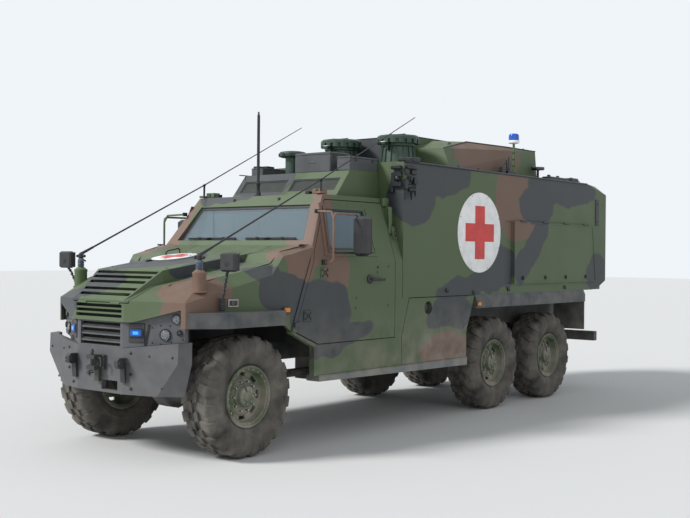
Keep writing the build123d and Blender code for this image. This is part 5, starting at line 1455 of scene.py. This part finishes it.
def make_interior():
    for hand, side in SIDES.items():
        for name, station, height, size, lean, channels in PADS:
            cushion(f"{name}_{hand}", vec(station, side * SEAT_Y, FLOOR_Z + height), size, lean, channels)
    form = Form()
    # seat frames, dashboard with its cowl and the pillar of the steering wheel
    for _ in form.both():
        base = vec(-1560, SEAT_Y, FLOOR_Z)
        form.block(base + UP * 110, (400, 360, 200), black_plastic, bevel=20)
        for y in (-190, 190):
            form.block(base + vec(0, y, 18), (440, 36, 30))
            form.tube(offset(base, (-220, y, 210), (-250, y, 400), (-262, y, 820)), 14)
    form.skin([[(x, y, z) for x, z in DASH] for y in (-840, -820, 820, 840)], black_plastic)
    form.block((-1020, SEAT_Y, 1745), (150, 380, 50), black_plastic, bevel=18)
    for y, width in ((0, 300), (-430, 340)):
        form.block((-1074, y, 1640), (14, width, 120), dark_core, bevel=6)
    for y in (-720, -200, 220, 740):
        form.lathe((-1072, y, 1660), BACK, (0, 38, 8, 36, 10, 28), sides=20)
    axis = vec(-math.cos(COLUMN_PITCH), 0, math.sin(COLUMN_PITCH))
    upright = axis.cross(LEFT)
    form.tube(arc(STEERING, 195, 0, 352.5, 47, LEFT, upright), 14.5, black_plastic, 12, closed=True)
    for turn in (90, 215, 325):
        rim = arc(STEERING, 190, turn, turn, 1, LEFT, upright)[0]
        form.tube((STEERING - axis * 20, STEERING.lerp(rim, 0.5) - axis * 12, rim), 12, black_plastic, 8)
    form.lathe(STEERING - axis * 40, axis, (0, 50, 34, 54, 42, 40), black_plastic)
    form.rod(STEERING - axis * 30, STEERING - axis * 235, 28, black_plastic, 16)
    form.place("cab_fittings", "hull", "interior", ("cab_interior",))


def dress(material, *names):
    for name in names:
        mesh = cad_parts[name].data
        mesh.materials.clear()
        mesh.materials.append(material)


def make_stage():
    """Floor, backdrop and lights."""
    bpy.ops.mesh.primitive_plane_add(size=160)
    floor = bpy.context.object
    floor.name = "floor"
    paint = Paint("floor_paint")
    paint.set(Base_Color=(0.74, 0.74, 0.73), Roughness=0.85)
    floor.data.materials.append(paint.material)
    world = bpy.data.worlds.new("studio")
    scene.world = world
    world.use_nodes = True
    nodes = Nodes(world.node_tree)
    # light from all round, and the pale backdrop that the camera, gloss and glass see
    light = nodes.tree.nodes["Background"]
    shown = nodes.add("ShaderNodeBackground")
    for node, colour, strength in ((light, (0.90, 0.95, 1.0), 0.44), (shown, (0.87, 0.91, 0.95), 1.0)):
        nodes.feed(node.inputs[0], colour)
        nodes.feed(node.inputs[1], strength)
    path = nodes.add("ShaderNodeLightPath").outputs
    seen = nodes.most(path["Is Camera Ray"], path["Is Transmission Ray"])
    seen = nodes.most(seen, path["Is Glossy Ray"])
    choice = nodes.add("ShaderNodeMixShader")
    for socket, value in enumerate((seen, light.outputs[0], shown.outputs[0])):
        nodes.feed(choice.inputs[socket], value)
    nodes.feed(nodes.tree.nodes["World Output"].inputs[0], choice.outputs[0])
    # name, direction it comes from, width in degrees, strength
    for name, place, width, strength in (("key", (13, -8, 12), 14, 2.9), ("fill", (9, 12, 7), 40, 0.30)):
        sun = bpy.data.lights.new(name, "SUN")
        sun.angle = math.radians(width)
        sun.energy = strength
        lamp = bpy.data.objects.new(name, sun)
        lamp.location = place
        lamp.rotation_euler = (-Vector(place)).to_track_quat("-Z", "Y").to_euler()
        scene.collection.objects.link(lamp)


make_camera()
make_stage()
make_bonnet()
make_roof_module()
make_tyres()
make_rims()
make_lamps()
make_front()
make_nose_trim()
make_aerials()
make_windscreen_trim()
make_roof_front()
make_doors()
make_cross_discs()
make_box_fittings()
make_roof_gear()
make_rear()
make_interior()

dress(camouflage, "nose_shell", "cab_sides", "cab_top", "door_left", "door_right")
dress(camouflage_material("skirt_paint", 0.95, step=True), "skirts")
box_paint = camouflage_material("box_paint", lined=True)
dress(box_paint, "box_sides", "box_roof", "box_tub", "rear_door_left", "rear_door_right")
dress(black_plastic, "cab_tub")
dress(green_metal, "hatch_lid_left", "hatch_lid_right")
dress(plain_material("flare_paint", (0.036, 0.043, 0.052), 0.6, dust=0.95, dust_top=1.9), "flares")
dress(grey_paint, "front_panel")
dress(bumper_paint, "bumper")
dress(running_gear, "chassis_frame", "axles", "engine", "knuckle_left", "knuckle_right")
dress(windscreen_glass, "windscreen")
dress(door_glass, "door_glass_left", "door_glass_right")
